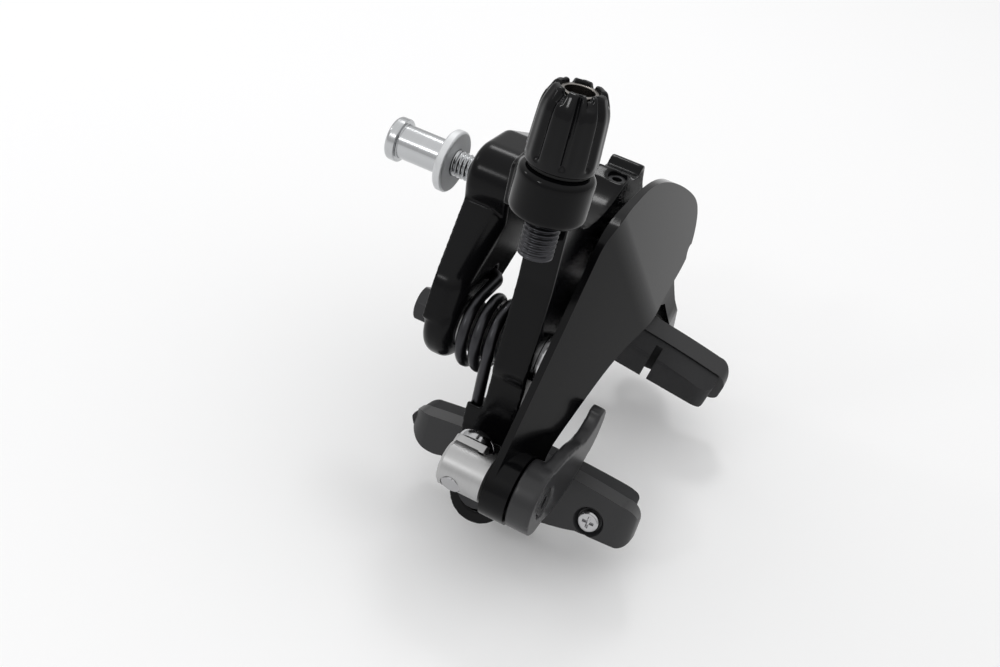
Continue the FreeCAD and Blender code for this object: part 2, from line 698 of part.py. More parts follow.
def right_arm():
    """Arm that crosses over the front, from the cable anchor to the right pivot and leg."""
    angle = math.radians(EDGE_ANGLE)
    along = (math.cos(angle), math.sin(angle))
    inward = (math.sin(angle), -math.cos(angle))
    end = (LEVER_X, LEVER_Z)
    touch = (end[0] - inward[0] * ANCHOR_END_R, end[1] - inward[1] * ANCHOR_END_R)
    knee = (EDGE_POINT[0] + along[0] * 47.0, EDGE_POINT[1] + along[1] * 47.0)
    round_end = [(end[0] + ANCHOR_END_R * math.cos(math.radians(turn)),
                  end[1] + ANCHOR_END_R * math.sin(math.radians(turn)))
                 for turn in (-18, -70, -127, -187)]
    plate = front_slab(
        touch,
        [knee,
         [(knee[0] + along[0] * 4.5, knee[1] + along[1] * 4.5), (-12.0, 10.2), (-3.0, 9.7), (7.6, 9.2),
          (17.9, 6.0), (26.2, 1.8), (32.4, -2.2), (36.4, -5.6), (35.9, -8.8), (30.6, -12.3), (23.0, -14.5),
          (9.0, -14.6), (-2.0, -15.4), (-15.0, -19.2), (-26.0, -26.0), (-34.5, -31.2), (-38.0, -34.0),
          (round_end[0][0] + 0.9, round_end[0][1] + 2.8), round_end[0]],
         (round_end[1], round_end[2]), (round_end[3], touch)],
        RIGHT_REAR, RIGHT_REAR - 20.0)
    edge_front = RIGHT_REAR - EDGE_THICK
    face_normal = Vector(-FACE_SLOPE * inward[0], -1, -FACE_SLOPE * inward[1])
    stock = Part.makeBox(160.0, 70.0, 130.0, Vector(-90.0, RIGHT_REAR - 30.0, -80.0))
    stock = stock.cut(beyond(Vector(touch[0], edge_front, touch[1]), face_normal))
    stock = stock.cut(beyond(Vector(*CREASE_TOP), Vector(*SHOULDER_NORMAL)))
    stock = rounded(stock, CREASE_ROUND, crease_edge(face_normal, Vector(*SHOULDER_NORMAL)))
    plate = plate.common(stock)
    plate = plate.cut(rod_y(LEVER_BOSS_R + GAP, END_FRONT, -60.0, LEVER_X, LEVER_Z))
    plate = plate.fuse(rod_y(ANCHOR_END_R, RIGHT_REAR, END_FRONT, LEVER_X, LEVER_Z))
    body = plate.fuse(rod_y(ARM_BOSS_R, RIGHT_BOSS_REAR, RIGHT_BOSS_FRONT, PIVOT_X,
                            PIVOT_Z)).fuse(right_leg())
    body = body.cut(rod_y(BUSH_R, 0, -60, PIVOT_X, PIVOT_Z))
    body = body.cut(rod_y(PIVOT_CAP_R + GAP, RIGHT_BOSS_FRONT, -60, PIVOT_X, PIVOT_Z))
    body = body.cut(rod_y(LINK_PIN_R, 0, RIGHT_REAR - 4.0, 0.0, LINK_Z))
    body = body.cut(rod_y(LEVER_SHAFT_R + RUNNING, 0, -60, LEVER_X, LEVER_Z))
    return body.removeSplitter()


def crease_edge(first, second):
    """Choose the edge along which two slanted planes of given normals meet."""
    heading = first.cross(second).normalize()

    def chosen(edge):
        ends = [vertex.Point for vertex in edge.Vertexes]
        if len(ends) < 2:
            return False
        run = ends[1] - ends[0]
        return run.Length > 5.0 and abs(run.normalize().dot(heading)) > 0.9999
    return chosen


def link_pin():
    """Pin pressed into the right arm's rear face."""
    head = rod_y(LINK_PIN_R + 0.8, LEFT_REAR + 1.2, LEFT_REAR + 0.2, 0.0, LINK_Z)
    return rod_y(LINK_PIN_R, LEFT_REAR + 1.0, RIGHT_REAR - 3.5, 0.0, LINK_Z).fuse(head)


def link_roller():
    """Roller that carries the left arm's arch."""
    tube = rod_y(LINK_ROLLER_R, LEFT_REAR, LEFT_FRONT, 0.0, LINK_Z)
    return tube.cut(rod_y(LINK_PIN_R + RUNNING, 0, -60, 0.0, LINK_Z))


def adjuster_barrel():
    """Hollow threaded screw below the knob."""
    rings = []
    low = BARREL_BOTTOM
    while low < COLLAR_BOTTOM - 0.6:
        rings.append((BARREL_R - THREAD_DEPTH, low))
        rings.append((BARREL_R, low + THREAD_PITCH / 2))
        low += THREAD_PITCH
    points = [(CABLE_R + 0.3, BARREL_BOTTOM)] + rings
    points += [(BARREL_R, low), (BARREL_R, KNOB_BOTTOM + 2.0), (CABLE_R + 0.3, KNOB_BOTTOM + 2.0)]
    face = Part.Face(outline(points[0], points[1:], lambda x, z: Vector(x, 0, z)))
    screw = face.revolve(Vector(0, 0, 0), ALONG_Z, 360)
    screw.translate(Vector(ADJUSTER_X, ADJUSTER_Y, 0))
    return adjuster_axis(screw)


def adjuster_knob():
    """Fluted, tapered knob over the barrel, with lugs round its mouth."""
    points = [(0, KNOB_BOTTOM), (KNOB_R - 0.6, KNOB_BOTTOM), (KNOB_R, KNOB_BOTTOM + 0.6),
              (KNOB_R, KNOB_BOTTOM + 5.0),
              (KNOB_TOP_R + 0.4, KNOB_TOP - 3.0), (KNOB_TOP_R - 1.2, KNOB_TOP), (0, KNOB_TOP)]
    face = Part.Face(outline(points[0], points[1:], lambda x, z: Vector(x, 0, z)))
    body = face.revolve(Vector(0, 0, 0), ALONG_Z, 360)
    body.translate(Vector(ADJUSTER_X, ADJUSTER_Y, 0))
    flutes = []
    for k in range(KNOB_FLUTES):
        turn = 2 * math.pi * (k + 0.5) / KNOB_FLUTES
        reach = KNOB_R + FLUTE_R - 0.55
        foot = Vector(ADJUSTER_X + reach * math.cos(turn), ADJUSTER_Y + reach * math.sin(turn),
                      KNOB_BOTTOM + 1.2)
        flutes.append(Part.makeCylinder(FLUTE_R, KNOB_TOP, foot, ALONG_Z))
    body = body.cut(Part.makeCompound(flutes))
    body = body.cut(upright(BARREL_R, KNOB_BOTTOM - 1, KNOB_BOTTOM + 2.0))
    body = body.cut(upright(SEAT_RING_R, KNOB_TOP - SEAT_DEPTH, KNOB_TOP + 1))
    body = body.cut(upright(CABLE_R + 0.3, KNOB_BOTTOM - 1, KNOB_TOP + 1))
    slots = []
    for k in range(3):
        slot = box((ADJUSTER_X - 9, ADJUSTER_Y - 0.8, KNOB_TOP - 1.0),
                   (ADJUSTER_X + 9, ADJUSTER_Y + 0.8, KNOB_TOP + 1))
        slots.append(turned(slot, Vector(ADJUSTER_X, ADJUSTER_Y, 0), ALONG_Z, 60 * k + 15))
    body = body.cut(Part.makeCompound(slots))
    return adjuster_axis(body)


def housing_seat():
    """Lined socket in the knob's mouth for the end of the cable housing."""
    low = KNOB_TOP - SEAT_DEPTH + 0.05
    tube = upright(SEAT_RING_R - RUNNING, low, KNOB_TOP - 0.6)
    tube = tube.cut(upright(HOUSING_R, low + 1.2, KNOB_TOP + 1))
    tube = tube.cut(upright(CABLE_R + 0.3, low - 1, KNOB_TOP + 1))
    return adjuster_axis(tube)


def seal_ring():
    """Ring between the knob and the collar."""
    tube = upright(KNOB_R - 0.8, COLLAR_TOP + 0.1, KNOB_BOTTOM - 0.05)
    return adjuster_axis(tube.cut(upright(BARREL_R + RUNNING, COLLAR_TOP - 1, KNOB_BOTTOM + 1)))


def anchor_turned(shape):
    """Turn a shape drawn level about the anchor's axis to the clamp's tilt."""
    return turned(shape, Vector(ANCHOR_X, 0, ANCHOR_Z), ALONG_Y, -CLAMP_TILT)


def anchor_body():
    """Round barrel that carries the cable clamp, with a flat for the plate."""
    front = RIGHT_REAR + GAP
    body = rod_y(ANCHOR_R, ANCHOR_REAR, front, ANCHOR_X, ANCHOR_Z)
    body = body.makeChamfer(0.7, [edge for edge in body.Edges if len(edge.Vertexes) == 1])
    reach = CLAMP_HEAD_R + GAP
    seat = box((ANCHOR_X + FLAT_DEPTH, CLAMP_Y - reach, ANCHOR_Z - 9),
               (ANCHOR_X + 12, CLAMP_Y + reach, ANCHOR_Z + 9))
    body = body.cut(seat)
    body = body.cut(rod_x(CLAMP_R + RUNNING, ANCHOR_X - 12, ANCHOR_X + 12, CLAMP_Y, ANCHOR_Z))
    groove = Part.makeCylinder(CABLE_R, 30, Vector(ANCHOR_X + FLAT_DEPTH, CLAMP_Y - 3.2, ANCHOR_Z - 15),
                               ALONG_Z)
    body = body.cut(groove)
    body = body.cut(rod_y(CRANK_R + RUNNING, CRANK_REAR + RUNNING, -60, ANCHOR_X, ANCHOR_Z))
    return anchor_turned(body)


def cable_plate():
    """Square plate that presses the cable on the anchor."""
    low = ANCHOR_X + FLAT_DEPTH + 0.05
    half = PLATE_SIDE / 2
    plate = box((low, CLAMP_Y - half, ANCHOR_Z - half),
                (low + PLATE_THICK, CLAMP_Y + half, ANCHOR_Z + half))
    plate = plate.makeChamfer(0.5, [edge for edge in plate.Edges if edge.BoundBox.XLength > 1])
    plate = plate.cut(rod_x(CLAMP_R + 0.1, low - 1, low + 5, CLAMP_Y, ANCHOR_Z))
    return anchor_turned(plate)


def clamp_bolt():
    """Bolt through the anchor with a domed head."""
    seat = ANCHOR_X + FLAT_DEPTH + PLATE_THICK + 0.1
    head = Part.makeCylinder(CLAMP_HEAD_R, CLAMP_HEAD, Vector(seat, CLAMP_Y, ANCHOR_Z), ALONG_X)
    outer = clamp_end()
    edges = [edge for edge in head.Edges if abs(edge.BoundBox.XMin - outer) < 1e-4
             and edge.BoundBox.XLength < 1e-4]
    head = head.makeFillet(CLAMP_HEAD * 0.75, edges)
    shank = rod_x(CLAMP_R, ANCHOR_X - ANCHOR_R + 0.2, seat + 0.5, CLAMP_Y, ANCHOR_Z)
    return anchor_turned(head.fuse(shank))


def lever_shaft():
    """Shaft of the quick release with the crank pin that carries the anchor."""
    shaft = rod_y(LEVER_SHAFT_R, RIGHT_REAR + 0.1, END_FRONT + 0.05, LEVER_X, LEVER_Z)
    pin = rod_y(CRANK_R, CRANK_REAR, RIGHT_REAR - 1.0, ANCHOR_X, ANCHOR_Z)
    body = shaft.fuse(pin)
    return body.cut(rod_y(LEVER_BOLT_R, RIGHT_REAR - 1.5, -60, LEVER_X, LEVER_Z))


def quick_lever():
    """Quick release lever: a boss over the arm's end and a paddle pointing inwards."""
    boss = rod_y(LEVER_BOSS_R, END_FRONT - GAP, LEVER_FRONT, LEVER_X, LEVER_Z)
    paddle = front_slab(
        (LEVER_X + 1.5, LEVER_Z + 7.2),
        [((LEVER_X + 7.4, LEVER_Z + 7.6), (LEVER_X + 13.6, LEVER_Z + 6.6)),
         ((LEVER_X + 17.4, LEVER_Z + 7.6), (LEVER_X + 19.9, LEVER_Z + 10.4)),
         ((LEVER_X + 21.9, LEVER_Z + 10.7), (LEVER_X + 23.1, LEVER_Z + 8.6)),
         ((LEVER_X + 21.3, LEVER_Z + 3.0), (LEVER_X + 17.0, LEVER_Z - 1.3)),
         ((LEVER_X + 11.0, LEVER_Z - 5.3), (LEVER_X + 2.5, LEVER_Z - 6.96)), (LEVER_X, LEVER_Z)],
        PADDLE_REAR, LEVER_FRONT)
    paddle = turned(paddle, Vector(LEVER_X, LEVER_FRONT, 0), ALONG_Z, -PADDLE_TILT)
    body = boss.fuse(paddle).removeSplitter()
    body = body.cut(rod_y(LEVER_BOLT_HEAD_R + GAP, LEVER_FRONT + 2.2, -60, LEVER_X, LEVER_Z))
    return body.cut(rod_y(LEVER_BOLT_R, 0, -60, LEVER_X, LEVER_Z))


def lever_bolt():
    """Socket screw that ties the lever to its shaft."""
    seat = LEVER_FRONT + 2.2
    head = rod_y(LEVER_BOLT_HEAD_R, seat, LEVER_FRONT + 0.1, LEVER_X, LEVER_Z)
    shank = rod_y(LEVER_BOLT_R, RIGHT_REAR - 1.6, seat - 0.5, LEVER_X, LEVER_Z)
    return head.fuse(shank).cut(hexagon_y(2.5, LEVER_FRONT + 1.6, -60, LEVER_X, LEVER_Z))


def shoe_frame(shape):
    """Tilt a shoe piece in its clamp, then open it out with the left arm."""
    return opened(turned(shape, Vector(DOME_CENTRE, 0, BOLT_Z), ALONG_Y, -SHOE_CANT), -1)


def far_shoe(shape, tilts):
    """The right side's copy of a shoe piece, set high in its slot with its front end down."""
    copy = turned(mirrored(shape), RIGHT_PIVOT, ALONG_Y, OPEN_ANGLE)
    if tilts:
        copy = turned(copy, Vector(0, RIGHT_LEG_Y, BOLT_Z), ALONG_X, FAR_SHOE_DROOP)
    copy.translate(Vector(0, 0, FAR_SHOE_RISE))
    return opened(copy, 1)


def shoe_ends():
    """Plan of the shoe, with round outer corners, as a block from above."""
    outer = -SHOE_OUTER
    inner = outer + 14.0
    return Part.Face(outline(
        (outer, SHOE_REAR - 6.0),
        [((outer + 1.6, SHOE_REAR - 1.6), (outer + 6.0, SHOE_REAR)), (inner, SHOE_REAR),
         (inner, SHOE_FRONT),
         (outer + 4.0, SHOE_FRONT), ((outer + 1.1, SHOE_FRONT + 1.1), (outer, SHOE_FRONT + 4.0))],
        lambda x, y: Vector(x, y, SHOE_Z - 20.0))).extrude(Vector(0, 0, 40))


def shoe_sides(inset=0.0):
    """Side view of the shoe, bowed above and below, as a block across."""
    rear = SHOE_REAR
    front = SHOE_FRONT
    high = SHOE_Z + 4.3 - inset
    low = SHOE_Z - 4.9 + inset
    return side_slab(
        (rear, SHOE_Z + 1.4),
        [((rear - 0.7, high - 0.9), (rear - 3.0, high)),
         ((SHOE_REAR - 25.0, high + 1.8), (front + 4.0, high + 0.4)),
         ((front + 0.8, high - 0.9), (front, SHOE_Z + 1.3)), (front, SHOE_Z - 2.3),
         ((front + 0.8, low + 0.6), (front + 3.0, low)), (front + 11.5, low - 0.4),
         ((front + 26.0, low - 2.6), (rear - 10.0, low + 1.8)),
         ((rear - 2.3, SHOE_Z - 1.8), (rear, SHOE_Z + 1.4))],
        -SHOE_OUTER - 2.0, -SHOE_OUTER + 14.0)


def shoe_holder(middle):
    """Channel that holds a brake pad, closed in front, with a boss for its bolt."""
    outer = -SHOE_OUTER
    body = box((outer, SHOE_FRONT, SHOE_Z - 14), (outer + HOLDER_DEPTH, SHOE_REAR, SHOE_Z + 14))
    body = body.common(shoe_sides()).common(shoe_ends())
    body = body.cut(box((outer + HOLDER_BACK, SHOE_FRONT + FRONT_STOP, CHANNEL_LOW),
                        (outer + 20, 0, CHANNEL_TOP)))
    body = body.cut(rod_x(PAD_SCREW_R, outer - 5, outer + 5, PAD_SCREW_Y, PAD_SCREW_Z))
    dish = Part.makeCone(PAD_SCREW_HEAD_R + 1.0, PAD_SCREW_HEAD_R + 0.3, 1.25,
                         Vector(outer - 0.01, PAD_SCREW_Y, PAD_SCREW_Z), ALONG_X)
    hole = rod_x(SHOE_BOLT_R + RUNNING, outer - 5, outer + HOLDER_BACK + 0.3, middle, BOLT_Z)
    return shoe_frame(body.cut(dish)).cut(opened(hole, -1))


def brake_pad():
    """Rubber block with a rib that fills the channel and cross grooves in its face."""
    outer = -SHOE_OUTER
    mouth = outer + HOLDER_DEPTH + PAD_FIT
    face = outer + PAD_DEPTH
    profile = [(mouth, PAD_LOW), (mouth, CHANNEL_LOW + PAD_FIT),
               (outer + HOLDER_BACK + PAD_FIT, CHANNEL_LOW + PAD_FIT),
               (outer + HOLDER_BACK + PAD_FIT, CHANNEL_TOP - PAD_FIT), (mouth, CHANNEL_TOP - PAD_FIT),
               (mouth, PAD_TOP + 1.6),
               (face - 1.4, PAD_TOP + 1.6), (face, PAD_TOP - 0.6), (face, PAD_LOW + 1.2),
               (face - 1.4, PAD_LOW)]
    block = front_slab(profile[0], profile[1:], SHOE_REAR, SHOE_FRONT + FRONT_STOP + PAD_FIT)
    block = block.common(shoe_sides(0.5))
    third = (SHOE_REAR - SHOE_FRONT) / 3
    for k in (1, 2):
        middle = SHOE_REAR - third * k
        block = block.cut(box((face - PAD_GROOVE_DEPTH, middle - PAD_GROOVE / 2, SHOE_Z - 14),
                              (face + 1, middle + PAD_GROOVE / 2, SHOE_Z + 14)))
    hole = rod_x(PAD_SCREW_R, outer - 5, outer + 5.2, PAD_SCREW_Y, PAD_SCREW_Z)
    return shoe_frame(block.common(pad_plan()).cut(hole))


def pad_plan():
    """Plan of the pad, with round corners at its face, as a block from above."""
    outer = -SHOE_OUTER
    face = outer + PAD_DEPTH
    front = SHOE_FRONT + FRONT_STOP + PAD_FIT
    cut = PAD_CORNER * (1 - math.cos(math.radians(45)))
    return Part.Face(outline(
        (outer, SHOE_REAR),
        [(face - PAD_CORNER, SHOE_REAR), ((face - cut, SHOE_REAR - cut), (face, SHOE_REAR - PAD_CORNER)),
         (face, front + PAD_CORNER), ((face - cut, front + cut), (face - PAD_CORNER, front)),
         (outer, front)],
        lambda x, y: Vector(x, y, SHOE_Z - 20.0))).extrude(Vector(0, 0, 40))


def pad_screw():
    """Small cross-recess screw that keeps the pad in its channel."""
    outer = -SHOE_OUTER
    z = PAD_SCREW_Z
    head = Part.makeCylinder(PAD_SCREW_HEAD_R, 1.5, Vector(outer - 0.3, PAD_SCREW_Y, z), ALONG_X)
    edges = [edge for edge in head.Edges if abs(edge.BoundBox.XMax - outer + 0.3) < 1e-4]
    head = head.makeFillet(0.6, edges)
    shank = rod_x(PAD_SCREW_R, outer + 1.1, outer + 5.0, PAD_SCREW_Y, z)
    cross = box((outer - 1, PAD_SCREW_Y - 0.3, z - 1.3), (outer + 0.5, PAD_SCREW_Y + 0.3, z + 1.3))
    cross = cross.fuse(box((outer - 1, PAD_SCREW_Y - 1.3, z - 0.3),
                           (outer + 0.5, PAD_SCREW_Y + 1.3, z + 0.3)))
    return shoe_frame(head.fuse(shank).cut(cross))


def shoe_bolt(middle):
    """Low-headed bolt through the leg's slot into the holder."""
    leg_outer = -LEG_INNER - LEG_THICK
    seat = leg_outer - SHOE_WASHER_THICK - 0.05
    head = Part.makeCylinder(SHOE_HEAD_R, SHOE_HEAD_THICK, Vector(seat, middle, BOLT_Z), Vector(-1, 0, 0))
    shank = rod_x(SHOE_BOLT_R, seat, -SHOE_OUTER + HOLDER_BACK - 0.9, middle, BOLT_Z)
    socket = socket_x(Vector(seat - SHOE_HEAD_THICK + 1.0, middle, BOLT_Z), 3.0)
    return opened(head.fuse(shank).cut(socket), -1)


def socket_x(foot, length):
    """A hexagonal socket along -X from a foot point."""
    corner = SHOE_SOCKET / 2 / math.cos(math.radians(30))
    points = []
    for k in range(7):
        turn = math.radians(60 * k)
        points.append(Vector(foot.x, foot.y + corner * math.cos(turn), foot.z + corner * math.sin(turn)))
    return Part.Face(Part.makePolygon(points)).extrude(Vector(-length, 0, 0))


def shoe_washer(middle):
    """Plain washer under the shoe bolt's head."""
    outer = -LEG_INNER - LEG_THICK - 0.02
    tube = rod_x(SHOE_WASHER_R, outer - SHOE_WASHER_THICK, outer, middle, BOLT_Z)
    return opened(tube.cut(rod_x(SHOE_BOLT_R, outer - 3, outer + 3, middle, BOLT_Z)), -1)


def dished_washers(middle):
    """Cupped and domed washers between the leg and the shoe, which let it tilt."""
    hole = rod_x(SHOE_BOLT_R + RUNNING, -LEG_INNER - 5, 0, middle, BOLT_Z)
    centre = Vector(DOME_CENTRE, middle, BOLT_Z)
    cup = rod_x(CUP_R, -LEG_INNER + 0.02, CUP_FACE, middle, BOLT_Z).cut(hole)
    cup = cup.cut(Part.makeSphere(DOME_SPHERE + 0.02, centre))
    dome = rod_x(DOME_R, -LEG_INNER, -SHOE_OUTER - 0.02, middle, BOLT_Z)
    dome = dome.common(Part.makeSphere(DOME_SPHERE, centre))
    return Part.makeCompound([opened(cup, -1), shoe_frame(dome).cut(opened(hole, -1))])


def build():
    """Write every node."""
    os.makedirs("parts", exist_ok=True)
    save("bracket", bracket())
    save("mounting_stud", mounting_stud())
    save("stud_washer", stud_washer())
    save("sleeve_nut", sleeve_nut())
    save("left_pivot_bolt", pivot_bolt(-PIVOT_X, LEFT_FRONT - CAP_GAP))
    save("right_pivot_bolt", pivot_bolt(PIVOT_X, RIGHT_BOSS_FRONT - CAP_GAP))
    save("left_pivot_cap", pivot_cap(-PIVOT_X, LEFT_FRONT - CAP_GAP, LEFT_CAP_THICK))
    save("right_pivot_cap", pivot_cap(PIVOT_X, RIGHT_BOSS_FRONT - CAP_GAP, RIGHT_CAP_THICK))
    save("left_bush", bush(-PIVOT_X, LEFT_REAR, LEFT_FRONT))
    save("right_bush", bush(PIVOT_X, RIGHT_BOSS_REAR, RIGHT_BOSS_FRONT))
    save("spring_sleeve", sleeve(-PIVOT_X, SLEEVE_R, BRACKET_FRONT, LEFT_REAR + 0.1))
    save("right_spacer", sleeve(PIVOT_X, SLEEVE_R, BRACKET_FRONT, RIGHT_BOSS_REAR + 0.1))
    save("return_spring", return_spring())
    save("left_arm", left_arm())
    save("right_arm", right_arm())
    save("centring_screw", centring_screw())
    save("link_pin", link_pin())
    save("link_roller", link_roller())
    save("adjuster_barrel", adjuster_barrel())
    save("adjuster_knob", adjuster_knob())
    save("housing_seat", housing_seat())
    save("seal_ring", seal_ring())
    save("anchor_body", anchor_body())
    save("cable_plate", cable_plate())
    save("clamp_bolt", clamp_bolt())
    save("lever_shaft", lever_shaft())
    save("quick_lever", quick_lever())
    save("lever_bolt", lever_bolt())
    for name, maker in {"brake_pad": brake_pad, "pad_screw": pad_screw}.items():
        save("left_" + name, maker())
        save("right_" + name, far_shoe(maker(), True))
    makers = {"shoe_holder": shoe_holder, "dished_washers": dished_washers, "shoe_bolt": shoe_bolt,
              "shoe_washer": shoe_washer}
    for name, maker in makers.items():
        tilts = name in ("shoe_holder", "dished_washers")
        save("left_" + name, maker(LEG_Y))
        save("right_" + name, far_shoe(maker(RIGHT_LEG_Y), tilts))


build()
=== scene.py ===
"""Looks of a side-pull rim brake caliper: finishes, fine pieces, floor, light and camera."""
import logging
import math
from dataclasses import dataclass, field
from enum import Enum
from typing import Callable, Iterable, Optional, Sequence

import bpy
import numpy as np
from mathutils import Matrix


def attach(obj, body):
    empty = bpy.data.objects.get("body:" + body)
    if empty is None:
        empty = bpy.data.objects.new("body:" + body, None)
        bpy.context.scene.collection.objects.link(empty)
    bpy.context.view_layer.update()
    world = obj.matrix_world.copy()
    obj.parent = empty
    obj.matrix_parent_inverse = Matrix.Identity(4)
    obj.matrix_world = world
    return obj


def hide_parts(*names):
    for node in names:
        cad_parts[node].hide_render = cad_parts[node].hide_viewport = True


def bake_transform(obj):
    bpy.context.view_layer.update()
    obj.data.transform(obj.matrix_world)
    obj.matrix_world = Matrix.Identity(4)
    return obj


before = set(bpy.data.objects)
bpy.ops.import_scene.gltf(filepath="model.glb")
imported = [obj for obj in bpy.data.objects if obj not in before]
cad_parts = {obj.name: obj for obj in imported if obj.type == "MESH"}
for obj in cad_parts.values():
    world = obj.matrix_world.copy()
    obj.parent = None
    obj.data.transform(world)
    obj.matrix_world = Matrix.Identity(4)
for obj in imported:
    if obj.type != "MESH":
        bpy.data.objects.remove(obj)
LOG = logging.getLogger("caliper")
MM = 0.001
WELD_GAP = 0.000004
EASE_FACTOR = 0.5
EASE_STEPS = 12
FLAT_ANGLE = 0.6
BEVEL_STEPS = 3
BEVEL_ANGLE = 34.0
SMOOTH_ANGLE = 32.0
LINE_SCALE = 2600.0
RING_SCALE = 120.0
RING_SQUEEZE = 0.6


class Axis(Enum):
    """Row axes that a pattern or a turned piece can follow."""

    X = 0
    Y = 1
    Z = 2


class Sock:
    """A shader value whose operators add Math nodes."""

    def __init__(self, graph: "Graph", socket: bpy.types.NodeSocket) -> None:
        """Keep the graph and the socket."""
        self.graph = graph
        self.socket = socket

    def _math(self, operation: str, first: object, second: object) -> "Sock":
        """Add one Math node.

        Args:
            operation: Name of the Math operation.
            first: Value or socket of the first input.
            second: Value or socket of the second input.

        Returns:
            The node's result.
        """
        return self.graph.node("ShaderNodeMath", {"operation": operation}, {0: first, 1: second})

    def __add__(self, other: object) -> "Sock":
        """Sum."""
        return self._math("ADD", self, other)

    __radd__ = __add__

    def __mul__(self, other: object) -> "Sock":
        """Product."""
        return self._math("MULTIPLY", self, other)

    def clamp(self) -> "Sock":
        """Limit to 0 to 1."""
        return self._math("MINIMUM", self._math("MAXIMUM", self, 0.0), 1.0)


class Graph:
    """Node tree of one material."""

    def __init__(self, name: str) -> None:
        """Make an empty material of that name."""
        self.material = bpy.data.materials.new(name)
        self.material.use_nodes = True
        self.tree = self.material.node_tree
        self.tree.nodes.clear()

    def node(self, kind: str, settings: Optional[dict] = None, inputs: Optional[dict] = None,
             output: object = 0) -> Sock:
        """Add a node, set it, then fill or link its sockets.

        Args:
            kind: Node type.
            settings: Attributes to set first.
            inputs: Socket name or index to a value or a Sock.
            output: Name or index of the wanted output.

        Returns:
            The wanted output.
        """
        made = self.tree.nodes.new(kind)
        for key, value in (settings or {}).items():
            setattr(made, key, value)
        for key, value in (inputs or {}).items():
            if isinstance(value, Sock):
                self.tree.links.new(value.socket, made.inputs[key])
            else:
                made.inputs[key].default_value = value
        return Sock(self, made.outputs[output])

    def place(self) -> Sock:
        """Object coordinates."""
        return self.node("ShaderNodeTexCoord", output="Object")

    def mapped(self, scale: Sequence[float], centre: Sequence[float]) -> Sock:
        """Object coordinates after moving and scaling a pattern.

        Args:
            scale: Scale along each axis.
            centre: Point in metres that becomes the pattern's origin.

        Returns:
            The mapped vector.
        """
        moved = self.node("ShaderNodeVectorMath", {"operation": "SUBTRACT"},
                          {0: self.place(), 1: tuple(centre)})
        return self.node("ShaderNodeMapping", None, {"Vector": moved, "Scale": tuple(scale)})

    def noise(self, vector: Sock, scale: float, detail: float = 2.0, rough: float = 0.5) -> Sock:
        """Noise between 0 and 1 on a vector."""
        return self.node("ShaderNodeTexNoise", None,
                         {"Vector": vector, "Scale": scale, "Detail": detail, "Roughness": rough},
                         "Fac")

    def mix(self, amount: Sock, first: Sequence[float], second: Sequence[float]) -> Sock:
        """Blend two colours.

        Args:
            amount: Share of the second colour.
            first: First colour.
            second: Second colour.

        Returns:
            The blended colour.
        """
        return self.node("ShaderNodeMix", {"data_type": "RGBA"},
                         {0: amount, 6: (*first, 1), 7: (*second, 1)}, 2)

    def bump(self, height: Sock, strength: float, distance: float) -> Sock:
        """Bumped normal from a height.

        Args:
            height: Height between 0 and 1.
            strength: Strength of the bump.
            distance: Depth in metres.

        Returns:
            The normal.
        """
        return self.node("ShaderNodeBump", None,
                         {"Strength": strength, "Distance": distance, "Height": height})

    def surface(self, fixed: dict, varied: dict) -> bpy.types.Material:
        """Finish the material with one principled shader.

        Args:
            fixed: Constants, set on the shader's own sockets.
            varied: Links.

        Returns:
            The material.
        """
        shader = self.node("ShaderNodeBsdfPrincipled", None, {**fixed, **varied})
        end = self.tree.nodes.new("ShaderNodeOutputMaterial")
        self.tree.links.new(shader.socket, end.inputs["Surface"])
        return self.material


@dataclass(frozen=True)
class Lacquer:
    """Smooth dark lacquer on cast metal, with a faint orange peel."""

    name: str
    tone: tuple[float, float, float]
    roughness: float = 0.3
    gloss: float = 0.12
    peel: float = 900.0

    def build(self) -> bpy.types.Material:
        """Make the material."""
        g = Graph(self.name)
        place = g.place()
        cloud = g.noise(place, 60.0, 3.0)
        peel = g.noise(place, self.peel, 2.0)
        speck = g.noise(place, self.peel * 4, 1.0)
        lighter = tuple(1.5 * part + 0.001 for part in self.tone)
        color = g.mix((cloud * 0.7 + speck * 0.3).clamp(), self.tone, lighter)
        rough = (self.roughness - 0.05 + cloud * 0.08 + speck * 0.05).clamp()
        normal = g.bump(peel * 0.7 + speck * 0.3, 0.1, 0.00005)
        return g.surface({"IOR": 1.5, "Specular IOR Level": self.gloss},
                         {"Base Color": color, "Roughness": rough, "Normal": normal})


@dataclass(frozen=True)
class DrawnMetal:
    """Bare metal with fine lines along one axis, or rings round it."""

    name: str
    tone: tuple[float, float, float]
    axis: Axis
    roughness: float = 0.3
    stretch: float = 40.0
    centre: tuple[float, float, float] = (0.0, 0.0, 0.0)
    rings: bool = False

    def build(self) -> bpy.types.Material:
        """Make the material."""
        g = Graph(self.name)
        scale = [1.0, 1.0, 1.0]
        scale[self.axis.value] = self.stretch if self.rings else 1 / self.stretch
        if self.rings:
            for k in range(3):
                if k != self.axis.value:
                    scale[k] = RING_SQUEEZE
        vector = g.mapped(scale, tuple(MM * part for part in self.centre))
        fine = g.noise(vector, RING_SCALE if self.rings else LINE_SCALE, 3.0, 0.6)
        blotch = g.noise(g.place(), 120.0, 3.0)
        darker = tuple(0.82 * part for part in self.tone)
        color = g.mix((fine * 0.6 + blotch * 0.4).clamp(), darker, self.tone)
        rough = (self.roughness - 0.1 + fine * 0.16 + blotch * 0.06).clamp()
        normal = g.bump(fine, 0.15, 0.00004)
        return g.surface({"Metallic": 1.0},
                         {"Base Color": color, "Roughness": rough, "Normal": normal})


